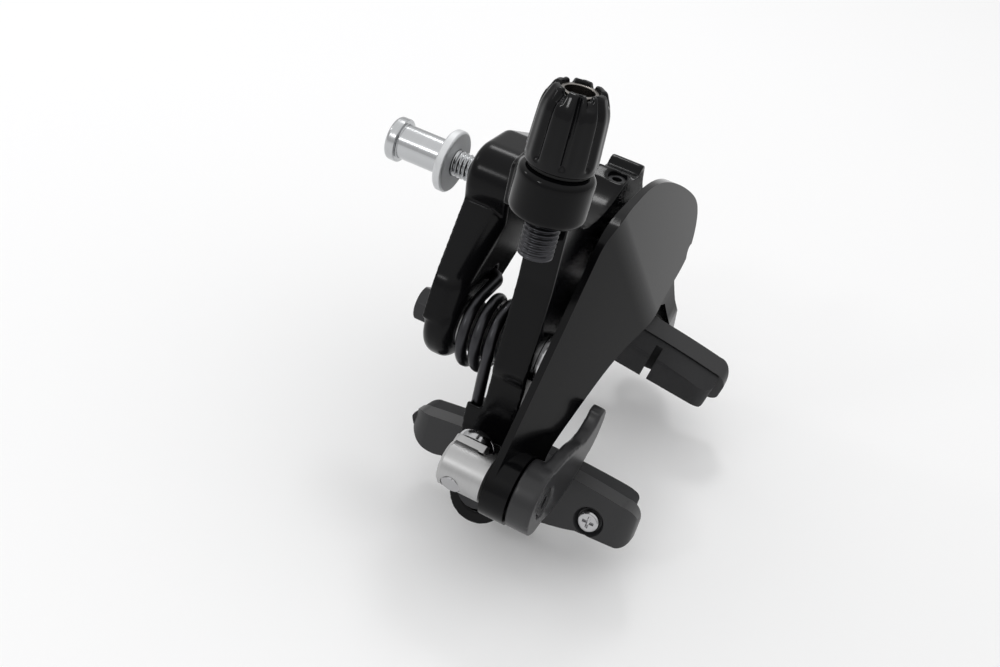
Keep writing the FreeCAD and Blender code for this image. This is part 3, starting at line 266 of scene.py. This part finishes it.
@dataclass(frozen=True)
class BrightMetal:
    """Satin or polished metal with light handling marks."""

    name: str
    tone: tuple[float, float, float]
    roughness: float = 0.2

    def build(self) -> bpy.types.Material:
        """Make the material."""
        g = Graph(self.name)
        fine = g.noise(g.place(), 3000.0, 2.0)
        blotch = g.noise(g.place(), 180.0, 4.0, 0.6)
        darker = tuple(0.8 * part for part in self.tone)
        color = g.mix((blotch * 0.8 + fine * 0.2).clamp(), darker, self.tone)
        rough = (self.roughness - 0.05 + blotch * 0.12 + fine * 0.04).clamp()
        normal = g.bump(fine, 0.08, 0.00003)
        return g.surface({"Metallic": 1.0},
                         {"Base Color": color, "Roughness": rough, "Normal": normal})


@dataclass(frozen=True)
class Rubber:
    """Moulded rubber with a fine matt skin and rubbed patches."""

    name: str
    tone: tuple[float, float, float]
    roughness: float = 0.7

    def build(self) -> bpy.types.Material:
        """Make the material."""
        g = Graph(self.name)
        grain = g.noise(g.place(), 2200.0, 3.0, 0.65)
        patch = g.noise(g.place(), 140.0, 3.0)
        dusty = tuple(1.7 * part + 0.004 for part in self.tone)
        color = g.mix((patch * 0.6 + grain * 0.4).clamp(), self.tone, dusty)
        rough = (self.roughness - 0.08 + grain * 0.12 + patch * 0.06).clamp()
        normal = g.bump(grain, 0.3, 0.00008)
        return g.surface({"IOR": 1.45, "Specular IOR Level": 0.25},
                         {"Base Color": color, "Roughness": rough, "Normal": normal})


@dataclass(frozen=True)
class Plastic:
    """Moulded dark plastic, satin to glossy."""

    name: str
    tone: tuple[float, float, float]
    roughness: float = 0.3
    gloss: float = 0.2

    def build(self) -> bpy.types.Material:
        """Make the material."""
        g = Graph(self.name)
        skin = g.noise(g.place(), 1400.0, 2.0)
        cloud = g.noise(g.place(), 90.0, 2.0)
        lighter = tuple(1.4 * part + 0.001 for part in self.tone)
        color = g.mix(cloud, self.tone, lighter)
        rough = (self.roughness - 0.04 + skin * 0.06 + cloud * 0.05).clamp()
        normal = g.bump(skin, 0.1, 0.00004)
        return g.surface({"IOR": 1.5, "Specular IOR Level": self.gloss},
                         {"Base Color": color, "Roughness": rough, "Normal": normal})


@dataclass
class Finishes:
    """All finishes of the caliper, made once."""

    arm: bpy.types.Material = field(init=False)
    bracket: bpy.types.Material = field(init=False)
    lever: bpy.types.Material = field(init=False)
    holder: bpy.types.Material = field(init=False)
    knob: bpy.types.Material = field(init=False)
    barrel: bpy.types.Material = field(init=False)
    bright: bpy.types.Material = field(init=False)
    washer: bpy.types.Material = field(init=False)
    anchor: bpy.types.Material = field(init=False)
    steel: bpy.types.Material = field(init=False)
    bolt: bpy.types.Material = field(init=False)
    chrome: bpy.types.Material = field(init=False)
    wire: bpy.types.Material = field(init=False)
    pad: bpy.types.Material = field(init=False)
    seal: bpy.types.Material = field(init=False)
    liner: bpy.types.Material = field(init=False)
    bronze: bpy.types.Material = field(init=False)

    def __post_init__(self) -> None:
        """Build the materials."""
        self.arm = Lacquer("lacquer_arm", (0.0012, 0.0012, 0.0015), 0.14, 0.14).build()
        self.bracket = Lacquer("lacquer_bracket", (0.002, 0.002, 0.0024), 0.2, 0.14).build()
        self.lever = Lacquer("lacquer_lever", (0.014, 0.014, 0.015), 0.3, 0.4).build()
        self.holder = Lacquer("lacquer_holder", (0.016, 0.016, 0.017), 0.36, 0.4).build()
        self.knob = Plastic("knob_gloss", (0.0015, 0.0015, 0.0019), 0.1, 0.2).build()
        self.barrel = DrawnMetal("barrel_black", (0.06, 0.06, 0.065), Axis.Z, 0.3, 30.0).build()
        self.bright = BrightMetal("aluminium_bright", (0.50, 0.50, 0.50), 0.26).build()
        self.washer = BrightMetal("washer_grainy", (0.74, 0.75, 0.76), 0.55).build()
        self.anchor = DrawnMetal("anchor_turned", (0.48, 0.48, 0.48), Axis.Y, 0.38, 20.0,
                                 (-47.6, 0.0, -37.1), rings=True).build()
        self.steel = DrawnMetal("stud_steel", (0.55, 0.56, 0.57), Axis.Y, 0.2, 20.0,
                                rings=True).build()
        self.bolt = DrawnMetal("bolt_black", (0.05, 0.05, 0.052), Axis.Y, 0.36, 12.0).build()
        self.chrome = BrightMetal("chrome_polished", (0.50, 0.50, 0.51), 0.1).build()
        self.wire = DrawnMetal("spring_wire", (0.05, 0.05, 0.054), Axis.Y, 0.3, 3.0).build()
        self.pad = Rubber("pad_rubber", (0.019, 0.019, 0.020)).build()
        self.seal = Rubber("seal_rubber", (0.006, 0.006, 0.006), 0.5).build()
        self.liner = BrightMetal("liner_steel", (0.30, 0.28, 0.26), 0.22).build()
        self.bronze = BrightMetal("bush_bronze", (0.5, 0.36, 0.16), 0.3).build()


class Shaper:
    """Makes mesh pieces from arrays of points in millimetres."""

    @staticmethod
    def piece(name: str, points: np.ndarray, faces: list, smooth: float) -> bpy.types.Object:
        """Put points and faces into a new object, with its faces turned outwards.

        Args:
            name: Object name.
            points: Array of n by 3 coordinates in millimetres.
            faces: Arrays of vertex numbers, all of one size in each array.
            smooth: Edges sharper than this angle in degrees stay sharp.

        Returns:
            The object.
        """
        volume = 0.0
        for group in faces:
            first = points[group[:, 0]]
            for k in range(1, group.shape[1] - 1):
                across = np.cross(points[group[:, k]], points[group[:, k + 1]])
                volume += float(np.einsum("ij,ij->i", first, across).sum())
        turned = [group[:, ::-1] if volume < 0 else group for group in faces]
        mesh = bpy.data.meshes.new(name)
        mesh.from_pydata((points * MM).tolist(), [],
                         [face for group in turned for face in group.tolist()])
        mesh.update()
        mesh.shade_smooth()
        mesh.set_sharp_from_angle(angle=math.radians(smooth))
        made = bpy.data.objects.new(name, mesh)
        bpy.context.scene.collection.objects.link(made)
        return made

    @staticmethod
    def tube(name: str, rings: np.ndarray, smooth: float) -> bpy.types.Object:
        """Skin a stack of closed rings and close both ends to their middles.

        Args:
            name: Object name.
            rings: Array of m rings by n points by 3 coordinates.
            smooth: Angle above which edges stay sharp.

        Returns:
            The object.
        """
        m, n, _ = rings.shape
        points = np.concatenate([rings.reshape(-1, 3), rings[0].mean(0)[None],
                                 rings[-1].mean(0)[None]])
        row, col = np.meshgrid(np.arange(m - 1), np.arange(n), indexing="ij")
        after = (col + 1) % n
        quads = np.stack([row * n + col, row * n + after, (row + 1) * n + after,
                          (row + 1) * n + col], -1).reshape(-1, 4)
        k = np.arange(n)
        low = np.stack([np.full(n, m * n), (k + 1) % n, k], -1)
        high = np.stack([np.full(n, m * n + 1), (m - 1) * n + k, (m - 1) * n + (k + 1) % n], -1)
        return Shaper.piece(name, points, [quads, low, high], smooth)

    @staticmethod
    def rounded_profile(corners: Sequence[tuple[float, float, float]],
                        steps: int = 5) -> np.ndarray:
        """Round the corners of a profile.

        Each corner gives a reach: the line stops that far before it, and a quadratic curve from
        there to the same distance past it, with the corner as its middle pole, leads round it.

        Args:
            corners: Points as (radius, height, reach).
            steps: Points on each rounded corner.

        Returns:
            Array of points by (radius, height).
        """
        spots = np.array(corners, float)
        out = [spots[0, :2]]
        t = np.linspace(0, 1, steps)[:, None]
        for before, here, after in zip(spots[:-2], spots[1:-1], spots[2:]):
            reach = here[2]
            if reach <= 0:
                out.append(here[:2])
                continue
            back = before[:2] - here[:2]
            ahead = after[:2] - here[:2]
            start = here[:2] + back * min(0.49, reach / max(np.linalg.norm(back), 1e-9))
            end = here[:2] + ahead * min(0.49, reach / max(np.linalg.norm(ahead), 1e-9))
            out.extend((1 - t) ** 2 * start + 2 * t * (1 - t) * here[:2] + t ** 2 * end)
        out.append(spots[-1, :2])
        return np.array(out)

    @staticmethod
    def turned(profile: np.ndarray, foot: Sequence[float], axis: Sequence[float], sides: int,
               shape: Callable[[np.ndarray, np.ndarray, np.ndarray], tuple]) -> np.ndarray:
        """Carry a profile round an axis.

        A point is the foot plus the axis times height plus radius times (cos a, sin a) across.

        Args:
            profile: Points by (radius, height).
            foot: Point where height is nought, in millimetres.
            axis: Direction of the axis.
            sides: Points on each ring.
            shape: Gives the radius and height from angle, radius and height.

        Returns:
            Rings for a tube.
        """
        along = np.array(axis, float) / np.linalg.norm(axis)
        across = np.cross(along, (0.0, 0.0, 1.0) if abs(along[2]) < 0.9 else (0.0, 1.0, 0.0))
        across = across / np.linalg.norm(across)
        third = np.cross(along, across)
        angle = np.linspace(0, 2 * math.pi, sides, endpoint=False)[None, :]
        radius = np.repeat(profile[:, :1], sides, 1)
        height = np.repeat(profile[:, 1:2], sides, 1)
        radius, height = shape(angle, radius, height)
        outward = np.cos(angle)[..., None] * across + np.sin(angle)[..., None] * third
        return np.array(foot)[None, None] + along * height[..., None] + radius[..., None] * outward


class Form(Enum):
    """How a solid was made, which sets how its edges are softened."""

    CAST = "cast"
    MACHINED = "machined"


def dress(node: str, finish: bpy.types.Material, edge: float, form: Form = Form.MACHINED) -> None:
    """Give a CAD node its finish and softened edges.

    Args:
        node: Name of the node.
        finish: Material.
        edge: Softness in millimetres: the cell of a cast skin, or the width of a machined edge.
        form: How the solid was made.
    """
    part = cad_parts[node]
    part.data.materials.clear()
    part.data.materials.append(finish)
    weld = part.modifiers.new("joined", "WELD")
    weld.merge_threshold = WELD_GAP
    if form is Form.CAST:
        skin = part.modifiers.new("cast_skin", "REMESH")
        skin.mode = "VOXEL"
        skin.voxel_size = edge * MM
        skin.use_smooth_shade = True
        ease = part.modifiers.new("cast_ease", "SMOOTH")
        ease.factor = EASE_FACTOR
        ease.iterations = EASE_STEPS
        LOG.info("dressed %s as cast", node)
        return
    if edge > 0:
        flat = part.modifiers.new("flat_faces", "DECIMATE")
        flat.decimate_type = "DISSOLVE"
        flat.angle_limit = math.radians(FLAT_ANGLE)
        bevel = part.modifiers.new("soft_edge", "BEVEL")
        bevel.width = edge * MM
        bevel.segments = BEVEL_STEPS
        bevel.limit_method = "ANGLE"
        bevel.angle_limit = math.radians(BEVEL_ANGLE)
        bevel.miter_outer = "MITER_ARC"
        bevel.use_clamp_overlap = True
    shade = part.modifiers.new("shading", "NODES")
    shade.node_group = shading_group()
    weight = part.modifiers.new("even_normals", "WEIGHTED_NORMAL")
    weight.keep_sharp = True
    LOG.info("dressed %s", node)


def shading_group() -> bpy.types.NodeTree:
    """Geometry nodes that shade faces smooth below an edge angle.

    Returns:
        The node group, made once.
    """
    known = bpy.data.node_groups.get("smooth_below_angle")
    if known:
        return known
    group = bpy.data.node_groups.new("smooth_below_angle", "GeometryNodeTree")
    group.interface.new_socket("Geometry", in_out="INPUT", socket_type="NodeSocketGeometry")
    group.interface.new_socket("Geometry", in_out="OUTPUT", socket_type="NodeSocketGeometry")
    start = group.nodes.new("NodeGroupInput")
    end = group.nodes.new("NodeGroupOutput")
    faces = group.nodes.new("GeometryNodeSetShadeSmooth")
    faces.domain = "FACE"
    edges = group.nodes.new("GeometryNodeSetShadeSmooth")
    edges.domain = "EDGE"
    angle = group.nodes.new("GeometryNodeInputMeshEdgeAngle")
    compare = group.nodes.new("FunctionNodeCompare")
    compare.operation = "LESS_THAN"
    compare.inputs[1].default_value = math.radians(SMOOTH_ANGLE)
    group.links.new(start.outputs[0], faces.inputs["Geometry"])
    group.links.new(faces.outputs[0], edges.inputs["Geometry"])
    group.links.new(angle.outputs[0], compare.inputs[0])
    group.links.new(compare.outputs[0], edges.inputs["Shade Smooth"])
    group.links.new(edges.outputs[0], end.inputs[0])
    return group


def finish_piece(piece: bpy.types.Object, body: str, finish: bpy.types.Material,
                 names: Iterable[str]) -> None:
    """Give a new piece its material, its body and the nodes that it stands for.

    Args:
        piece: The object.
        body: Body that it rides on.
        finish: Material.
        names: Nodes that it replaces.
    """
    piece.data.materials.append(finish)
    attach(piece, body)
    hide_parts(*names)
    LOG.info("made %s on %s", piece.name, body)


@dataclass
class Adjuster:
    """Cable adjuster on the left arm: fluted knob, threaded barrel, liner and seal."""

    foot: tuple[float, float, float] = (-38.2, -26.0, 20.0)
    lean: float = 6.0
    knob_radius: float = 6.7
    knob_rows: int = 130
    knob_sides: int = 192
    outer_share: float = 0.72
    knob_low: float = 10.3
    knob_high: float = 25.0
    flutes: int = 8
    flute_depth: float = 0.6
    flute_width: float = 0.55
    notches: int = 6
    notch_depth: float = 0.95
    notch_start: float = 15.0
    barrel_radius: float = 3.45
    barrel_low: float = 11.5
    barrel_sides: int = 72
    thread_depth: float = 0.45
    pitch: float = 1.0

    def axis(self) -> tuple[float, float, float]:
        """Direction of the adjuster."""
        turn = math.radians(self.lean)
        return (math.sin(turn), 0.0, math.cos(turn))

    def knob(self, finishes: Finishes) -> None:
        """Fluted knob: the radius dips by a bell curve at each flute, the rim by six notches.

        Args:
            finishes: The finishes.
        """
        low, high, wide = self.knob_low, self.knob_high, self.knob_radius
        profile = Shaper.rounded_profile([
            (0.6, low, 0), (wide - 1.1, low, 0.3), (wide - 0.05, low + 0.1, 0.5),
            (wide, low + 1.0, 0.4), (wide, low + 3.0, 1.5), (wide - 0.1, low + 5.0, 1.5),
            (wide - 0.25, low + 8.5, 1.5), (wide - 0.45, low + 11.4, 1.4),
            (wide - 1.9, high - 0.05, 0.7), (3.75, high, 0.25), (3.6, high - 0.6, 0.3),
            (3.6, high - 5.0, 0), (3.6, high - 8.9, 0.1), (0.5, high - 8.9, 0)], 7)
        given = np.arange(len(profile))
        wanted = np.linspace(0, len(profile) - 1, self.knob_rows)
        spread = np.interp(wanted, given, profile[:, 0])
        climb = np.interp(wanted, given, profile[:, 1])
        outer = np.arange(self.knob_rows) < self.knob_rows * self.outer_share

        def shape(angle: np.ndarray, radius: np.ndarray, height: np.ndarray) -> tuple:
            """Flutes and notches."""
            phase = (angle * self.flutes / (2 * math.pi)) % 1 - 0.5
            dip = np.exp(-(phase * 2 * math.pi / self.flutes * wide / self.flute_width) ** 2)
            crown = 0.1 * np.cos(phase * 2 * math.pi) ** 2
            rise = np.clip((height - low - 1.0) / 1.2, 0, 1)
            ease = rise * rise * (3 - 2 * rise) * outer[:, None] * (radius > 4.2)
            start = math.radians(self.notch_start)
            notch_phase = ((angle - start) * self.notches / (2 * math.pi)) % 1 - 0.5
            notch = 1 / (1 + np.exp((np.abs(notch_phase) - 0.13) * 60))
            top = np.clip((height - high + 2.2) / 1.2, 0, 1) * (radius < 5.9)
            return (radius - (self.flute_depth * dip + crown - 0.1) * ease,
                    height - self.notch_depth * notch * top)

        rings = Shaper.turned(np.stack([spread, climb], 1), self.foot, self.axis(),
                              self.knob_sides, shape)
        finish_piece(Shaper.tube("adjuster_knob_fluted", rings, 50), "adjuster_knob", finishes.knob,
                     ["adjuster_knob"])

    def barrel(self, finishes: Finishes) -> None:
        """Threaded barrel: the radius is a rounded saw of height over pitch less the angle.

        Args:
            finishes: The finishes.
        """
        reach, bore = self.barrel_radius, 1.3
        low = self.barrel_low - self.foot[2]
        rows = np.arange(low + 0.35, 1.0, self.pitch / 10)
        profile = np.concatenate([[(0.2, low + 3.0), (bore, low + 2.9), (bore, low + 0.2),
                                   (bore + 0.2, low), (reach - self.thread_depth - 0.1, low)],
                                  np.stack([np.full(len(rows), reach), rows], 1),
                                  [(reach, 2.0), (reach, 9.0), (reach, 12.2), (0.2, 12.2)]])

        def shape(angle: np.ndarray, radius: np.ndarray, height: np.ndarray) -> tuple:
            """Helical thread."""
            phase = (height / self.pitch - angle / (2 * math.pi)) % 1
            tooth = np.clip(1.25 * np.abs(2 * phase - 1) - 0.1, 0, 1)
            lead = np.clip((height - low - 0.3) / 0.9, 0, 1) * np.clip((1.2 - height) / 0.8, 0, 1)
            cut = self.thread_depth * (1 - tooth) * lead * (radius > reach - 0.01)
            return radius - cut, height

        rings = Shaper.turned(profile, self.foot, self.axis(), self.barrel_sides, shape)
        finish_piece(Shaper.tube("adjuster_barrel_threaded", rings, 60), "adjuster_knob",
                     finishes.barrel, ["adjuster_barrel"])

    def build(self, finishes: Finishes) -> None:
        """Make the adjuster.

        Args:
            finishes: The finishes.
        """
        self.knob(finishes)
        self.barrel(finishes)
        dress("housing_seat", finishes.liner, 0.2)
        dress("seal_ring", finishes.seal, 0.15)


@dataclass
class StudGroup:
    """Mounting stud with its thread, grainy washer and sleeve nut."""

    radius: float = 3.0
    pitch: float = 1.0
    thread_depth: float = 0.32
    head_radius: float = 5.2
    head_front: float = -10.8
    head_rear: float = -7.0
    end: float = 16.0
    sides: int = 72

    def stud(self, finishes: Finishes) -> None:
        """Stud: a turned rod with a hexagon socket in its head and a helical thread behind.

        Args:
            finishes: The finishes.
        """
        rows = np.arange(1.2, self.end - 0.1, self.pitch / 9)
        core = self.radius - self.thread_depth
        wide, front, rear = self.head_radius, self.head_front, self.head_rear
        socket = [(0.3, -8.4), (2.45, -8.5), (2.5, front + 0.3), (2.8, front)]
        head = Shaper.rounded_profile([(4.4, front, 0), (wide, front, 0.4), (wide, rear, 0.1),
                                       (self.radius, rear, 0)])
        thread = np.stack([np.full(len(rows), self.radius), rows], 1)
        profile = np.concatenate([socket, head, [(self.radius, 0.9)], thread,
                                  [(core, self.end), (0.3, self.end)]])

        def shape(angle: np.ndarray, radius: np.ndarray, height: np.ndarray) -> tuple:
            """Hexagon socket in front, thread behind."""
            sector = (angle % (math.pi / 3)) - math.pi / 6
            mouth = (height < front + 0.4) & (radius < 2.6)
            floor = (height < -8.3) & (radius > 2)
            flats = np.where(mouth | floor, 1.0 / np.cos(sector), 1.0)
            phase = (height / self.pitch - angle / (2 * math.pi)) % 1
            tooth = np.clip(1.25 * np.abs(2 * phase - 1) - 0.1, 0, 1)
            lead = np.clip((height - 1.1) / 0.8, 0, 1) * (np.abs(radius - self.radius) < 0.001)
            return radius * flats - self.thread_depth * (1 - tooth) * lead, height

        rings = Shaper.turned(profile, (0.0, 0.0, 0.0), (0.0, 1.0, 0.0), self.sides, shape)
        finish_piece(Shaper.tube("mounting_stud_threaded", rings, 50), "base", finishes.steel,
                     ["mounting_stud"])

    def build(self, finishes: Finishes) -> None:
        """Make the stud and dress its washer and nut.

        Args:
            finishes: The finishes.
        """
        self.stud(finishes)
        dress("stud_washer", finishes.washer, 0.15)
        dress("sleeve_nut", finishes.steel, 0.25)


@dataclass
class ReturnSpring:
    """Wound wire with a leg in the left arm's hook and a tail in the bracket."""

    pivot: tuple[float, float] = (-27.3, -18.5)
    coil_radius: float = 7.4
    wire_radius: float = 1.25
    pitch: float = 3.1
    turns: float = 2.25
    front: float = -19.75
    hook: float = -31.0
    tail: float = -17.5
    tail_bend: float = 2.6
    leg_rows: int = 24
    coil_rows: int = 240
    tail_rows: int = 12
    wire_sides: int = 28

    def centre_line(self) -> np.ndarray:
        """Leg straight up, helix about the pivot, tail across and a quarter bend into the bracket.

        Returns:
            Points by 3 coordinates in millimetres.
        """
        x0, z0 = self.pivot
        legs = np.linspace(self.hook, z0 - 0.8, self.leg_rows)
        leg = np.stack([np.full(self.leg_rows, x0 - self.coil_radius),
                        np.full(self.leg_rows, self.front), legs], 1)
        t = np.linspace(0.0, self.turns, self.coil_rows)
        angle = math.pi - 2 * math.pi * t
        coil = np.stack([x0 + self.coil_radius * np.cos(angle), self.front + self.pitch * t,
                         z0 + self.coil_radius * np.sin(angle)], 1)
        rear, top = coil[-1, 1], coil[-1, 2]
        run = np.linspace(x0 + 0.4, self.tail - self.tail_bend, self.tail_rows)
        level = np.full(self.tail_rows, top)
        across = np.stack([run, np.full(self.tail_rows, rear), level], 1)
        bend = np.linspace(0.1, math.pi / 2, self.tail_rows)
        corner = np.stack([self.tail - self.tail_bend + self.tail_bend * np.sin(bend),
                           rear + self.tail_bend * (1 - np.cos(bend)), level], 1)
        end = np.array([[self.tail, rear + self.tail_bend + more, top] for more in (1.5, 3.0)])
        return np.concatenate([leg, coil, across, corner, end])

    def build(self, finishes: Finishes) -> None:
        """Sweep a round section along the line, one side of it always away from the pivot.

        Args:
            finishes: The finishes.
        """
        line = self.centre_line()
        heading = np.gradient(line, axis=0)
        heading /= np.linalg.norm(heading, axis=1)[:, None]
        away = line - np.array([self.pivot[0], 0.0, self.pivot[1]])
        away[:, 1] = 0.0
        away -= heading * np.einsum("ij,ij->i", away, heading)[:, None]
        away /= np.linalg.norm(away, axis=1)[:, None]
        side = np.cross(heading, away)
        angle = np.linspace(0, 2 * math.pi, self.wire_sides, endpoint=False)[None, :, None]
        rings = line[:, None] + self.wire_radius * (np.cos(angle) * away[:, None]
                                                    + np.sin(angle) * side[:, None])
        wire = Shaper.tube("return_spring_wire", rings, 60)
        wire.data.materials.append(finishes.wire)
        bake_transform(wire)
        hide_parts("return_spring")
        LOG.info("made %s", wire.name)


@dataclass
class Hardware:
    """Arms, bracket and small pieces that keep their solids, with their finishes and edges."""

    skin: float = 0.3

    def build(self, finishes: Finishes) -> None:
        """Dress every carried-over node.

        Args:
            finishes: The finishes.
        """
        f = finishes
        cast = {"bracket": f.bracket, "left_arm": f.arm, "quick_lever": f.lever}
        for node, finish in cast.items():
            dress(node, finish, self.skin, Form.CAST)
        plan = {
            "left_bush": (f.bronze, 0.15), "right_bush": (f.bronze, 0.15),
            "left_pivot_bolt": (f.bolt, 0.2), "right_pivot_bolt": (f.bolt, 0.2),
            "left_pivot_cap": (f.chrome, 0.0), "right_pivot_cap": (f.bright, 0.0),
            "spring_sleeve": (f.bright, 0.2), "right_spacer": (f.bright, 0.2),
            "centring_screw": (f.bolt, 0.2), "link_pin": (f.bolt, 0.1),
            "link_roller": (f.bright, 0.15), "anchor_body": (f.anchor, 0.12),
            "cable_plate": (f.bright, 0.15), "clamp_bolt": (f.chrome, 0.0),
            "lever_shaft": (f.bolt, 0.1), "lever_bolt": (f.bolt, 0.15),
            "right_arm": (f.arm, 0.3)}
        for side in ("left_", "right_"):
            plan.update({side + "shoe_holder": (f.holder, 0.5), side + "brake_pad": (f.pad, 0.35),
                         side + "pad_screw": (f.chrome, 0.1),
                         side + "shoe_bolt": (f.bolt, 0.2), side + "shoe_washer": (f.bright, 0.12),
                         side + "dished_washers": (f.bright, 0.1)})
        for node, (finish, edge) in plan.items():
            dress(node, finish, edge)


@dataclass
class Studio:
    """Pale floor, soft lamps, white surround and the camera at the photograph's place."""

    floor_height: float = -63.0
    floor_half: float = 2500.0
    eye: tuple[float, float, float] = (-230.1, -89.4, 137.5)
    right: tuple[float, float, float] = (0.444, -0.877, 0.181)
    up: tuple[float, float, float] = (0.465, 0.399, 0.790)
    back: tuple[float, float, float] = (-0.766, -0.266, 0.585)
    lens: float = 45.93
    horizon: float = 0.6
    zenith: float = 1.0

    def camera(self) -> None:
        """Camera whose axes are the photograph's right, up and back."""
        data = bpy.data.cameras.new("camera")
        data.lens = self.lens
        data.sensor_width = 36.0
        data.sensor_fit = "HORIZONTAL"
        data.clip_start = 0.01
        camera = bpy.data.objects.new("camera", data)
        bpy.context.scene.collection.objects.link(camera)
        right = np.array(self.right) / np.linalg.norm(self.right)
        back = np.array(self.back) - np.dot(self.back, right) * right
        back /= np.linalg.norm(back)
        up = np.cross(back, right)
        turn = Matrix((right, up, back)).transposed().to_4x4()
        turn.translation = [MM * part for part in self.eye]
        camera.matrix_world = turn
        bpy.context.scene.camera = camera

    def floor(self) -> None:
        """Flat floor as one grid, a plane of two parameters."""
        side = np.linspace(-self.floor_half, self.floor_half, 9)
        x, y = np.meshgrid(side, side, indexing="ij")
        points = np.stack([x, y, np.full_like(x, self.floor_height)], -1).reshape(-1, 3)
        k = (np.arange(8)[:, None] * 9 + np.arange(8)[None]).reshape(-1)
        faces = np.stack([k, k + 9, k + 10, k + 1], -1)
        mesh = bpy.data.meshes.new("floor")
        mesh.from_pydata((points * MM).tolist(), [], faces.tolist())
        plane = bpy.data.objects.new("floor", mesh)
        bpy.context.scene.collection.objects.link(plane)
        g = Graph("floor_pale")
        cloud = g.noise(g.place(), 3.0, 2.0)
        color = g.mix(cloud, (0.90, 0.90, 0.905), (0.93, 0.93, 0.93))
        pale = g.surface({"Roughness": 0.9, "Specular IOR Level": 0.1}, {"Base Color": color})
        mesh.materials.append(pale)

    def lamp(self, name: str, place: Sequence[float], aim: Sequence[float], size: float,
             power: float) -> None:
        """Soft square lamp aimed at a point.

        Args:
            name: Object name.
            place: Where it stands, in millimetres.
            aim: Point that it lights, in millimetres.
            size: Side in millimetres.
            power: Power in watts.
        """
        data = bpy.data.lights.new(name, "AREA")
        data.shape = "SQUARE"
        data.size = size * MM
        data.energy = power
        lamp = bpy.data.objects.new(name, data)
        bpy.context.scene.collection.objects.link(lamp)
        back = np.array(place, float) - np.array(aim, float)
        back /= np.linalg.norm(back)
        right = np.cross((0.0, 0.0, 1.0), back)
        right /= np.linalg.norm(right)
        turn = Matrix((right, np.cross(back, right), back)).transposed().to_4x4()
        turn.translation = [MM * part for part in place]
        lamp.matrix_world = turn

    def surround(self) -> None:
        """World bright overhead and dimmer near the horizon, white where the camera looks."""
        world = bpy.data.worlds.new("surround")
        bpy.context.scene.world = world
        world.use_nodes = True
        tree = world.node_tree
        tree.nodes.clear()
        path = tree.nodes.new("ShaderNodeLightPath")
        heading = tree.nodes.new("ShaderNodeTexCoord")
        parts = tree.nodes.new("ShaderNodeSeparateXYZ")
        tree.links.new(heading.outputs["Generated"], parts.inputs[0])
        ramp = tree.nodes.new("ShaderNodeValToRGB")
        stops = ((0.25, self.horizon), (0.7, self.zenith))
        for element, (place, shade) in zip(ramp.color_ramp.elements, stops):
            element.position = place
            element.color = (shade, shade, shade, 1)
        tree.links.new(parts.outputs[2], ramp.inputs[0])
        soft = tree.nodes.new("ShaderNodeBackground")
        tree.links.new(ramp.outputs[0], soft.inputs["Color"])
        white = tree.nodes.new("ShaderNodeBackground")
        white.inputs["Color"].default_value = (1, 1, 1, 1)
        mix = tree.nodes.new("ShaderNodeMixShader")
        end = tree.nodes.new("ShaderNodeOutputWorld")
        tree.links.new(path.outputs["Is Camera Ray"], mix.inputs[0])
        tree.links.new(soft.outputs[0], mix.inputs[1])
        tree.links.new(white.outputs[0], mix.inputs[2])
        tree.links.new(mix.outputs[0], end.inputs[0])

    def build(self) -> None:
        """Set up the studio."""
        bpy.context.scene.view_settings.view_transform = "Standard"
        self.camera()
        self.floor()
        self.surround()
        self.lamp("key", (330, 160, 480), (0, -20, -20), 110, 0.52)
        self.lamp("side", (-420, 180, 300), (0, -20, -20), 60, 0.2)
        self.lamp("rim", (-60, 420, 260), (0, -20, -10), 60, 0.12)


def main() -> None:
    """Build every group in order and report it."""
    logging.basicConfig(level=logging.INFO, format="%(name)s: %(message)s")
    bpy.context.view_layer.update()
    finishes = Finishes()
    for group in (Adjuster(), StudGroup(), ReturnSpring(), Hardware()):
        LOG.info("building %s", type(group).__name__)
        group.build(finishes)
    Studio().build()


if __name__ == "__main__":
    main()
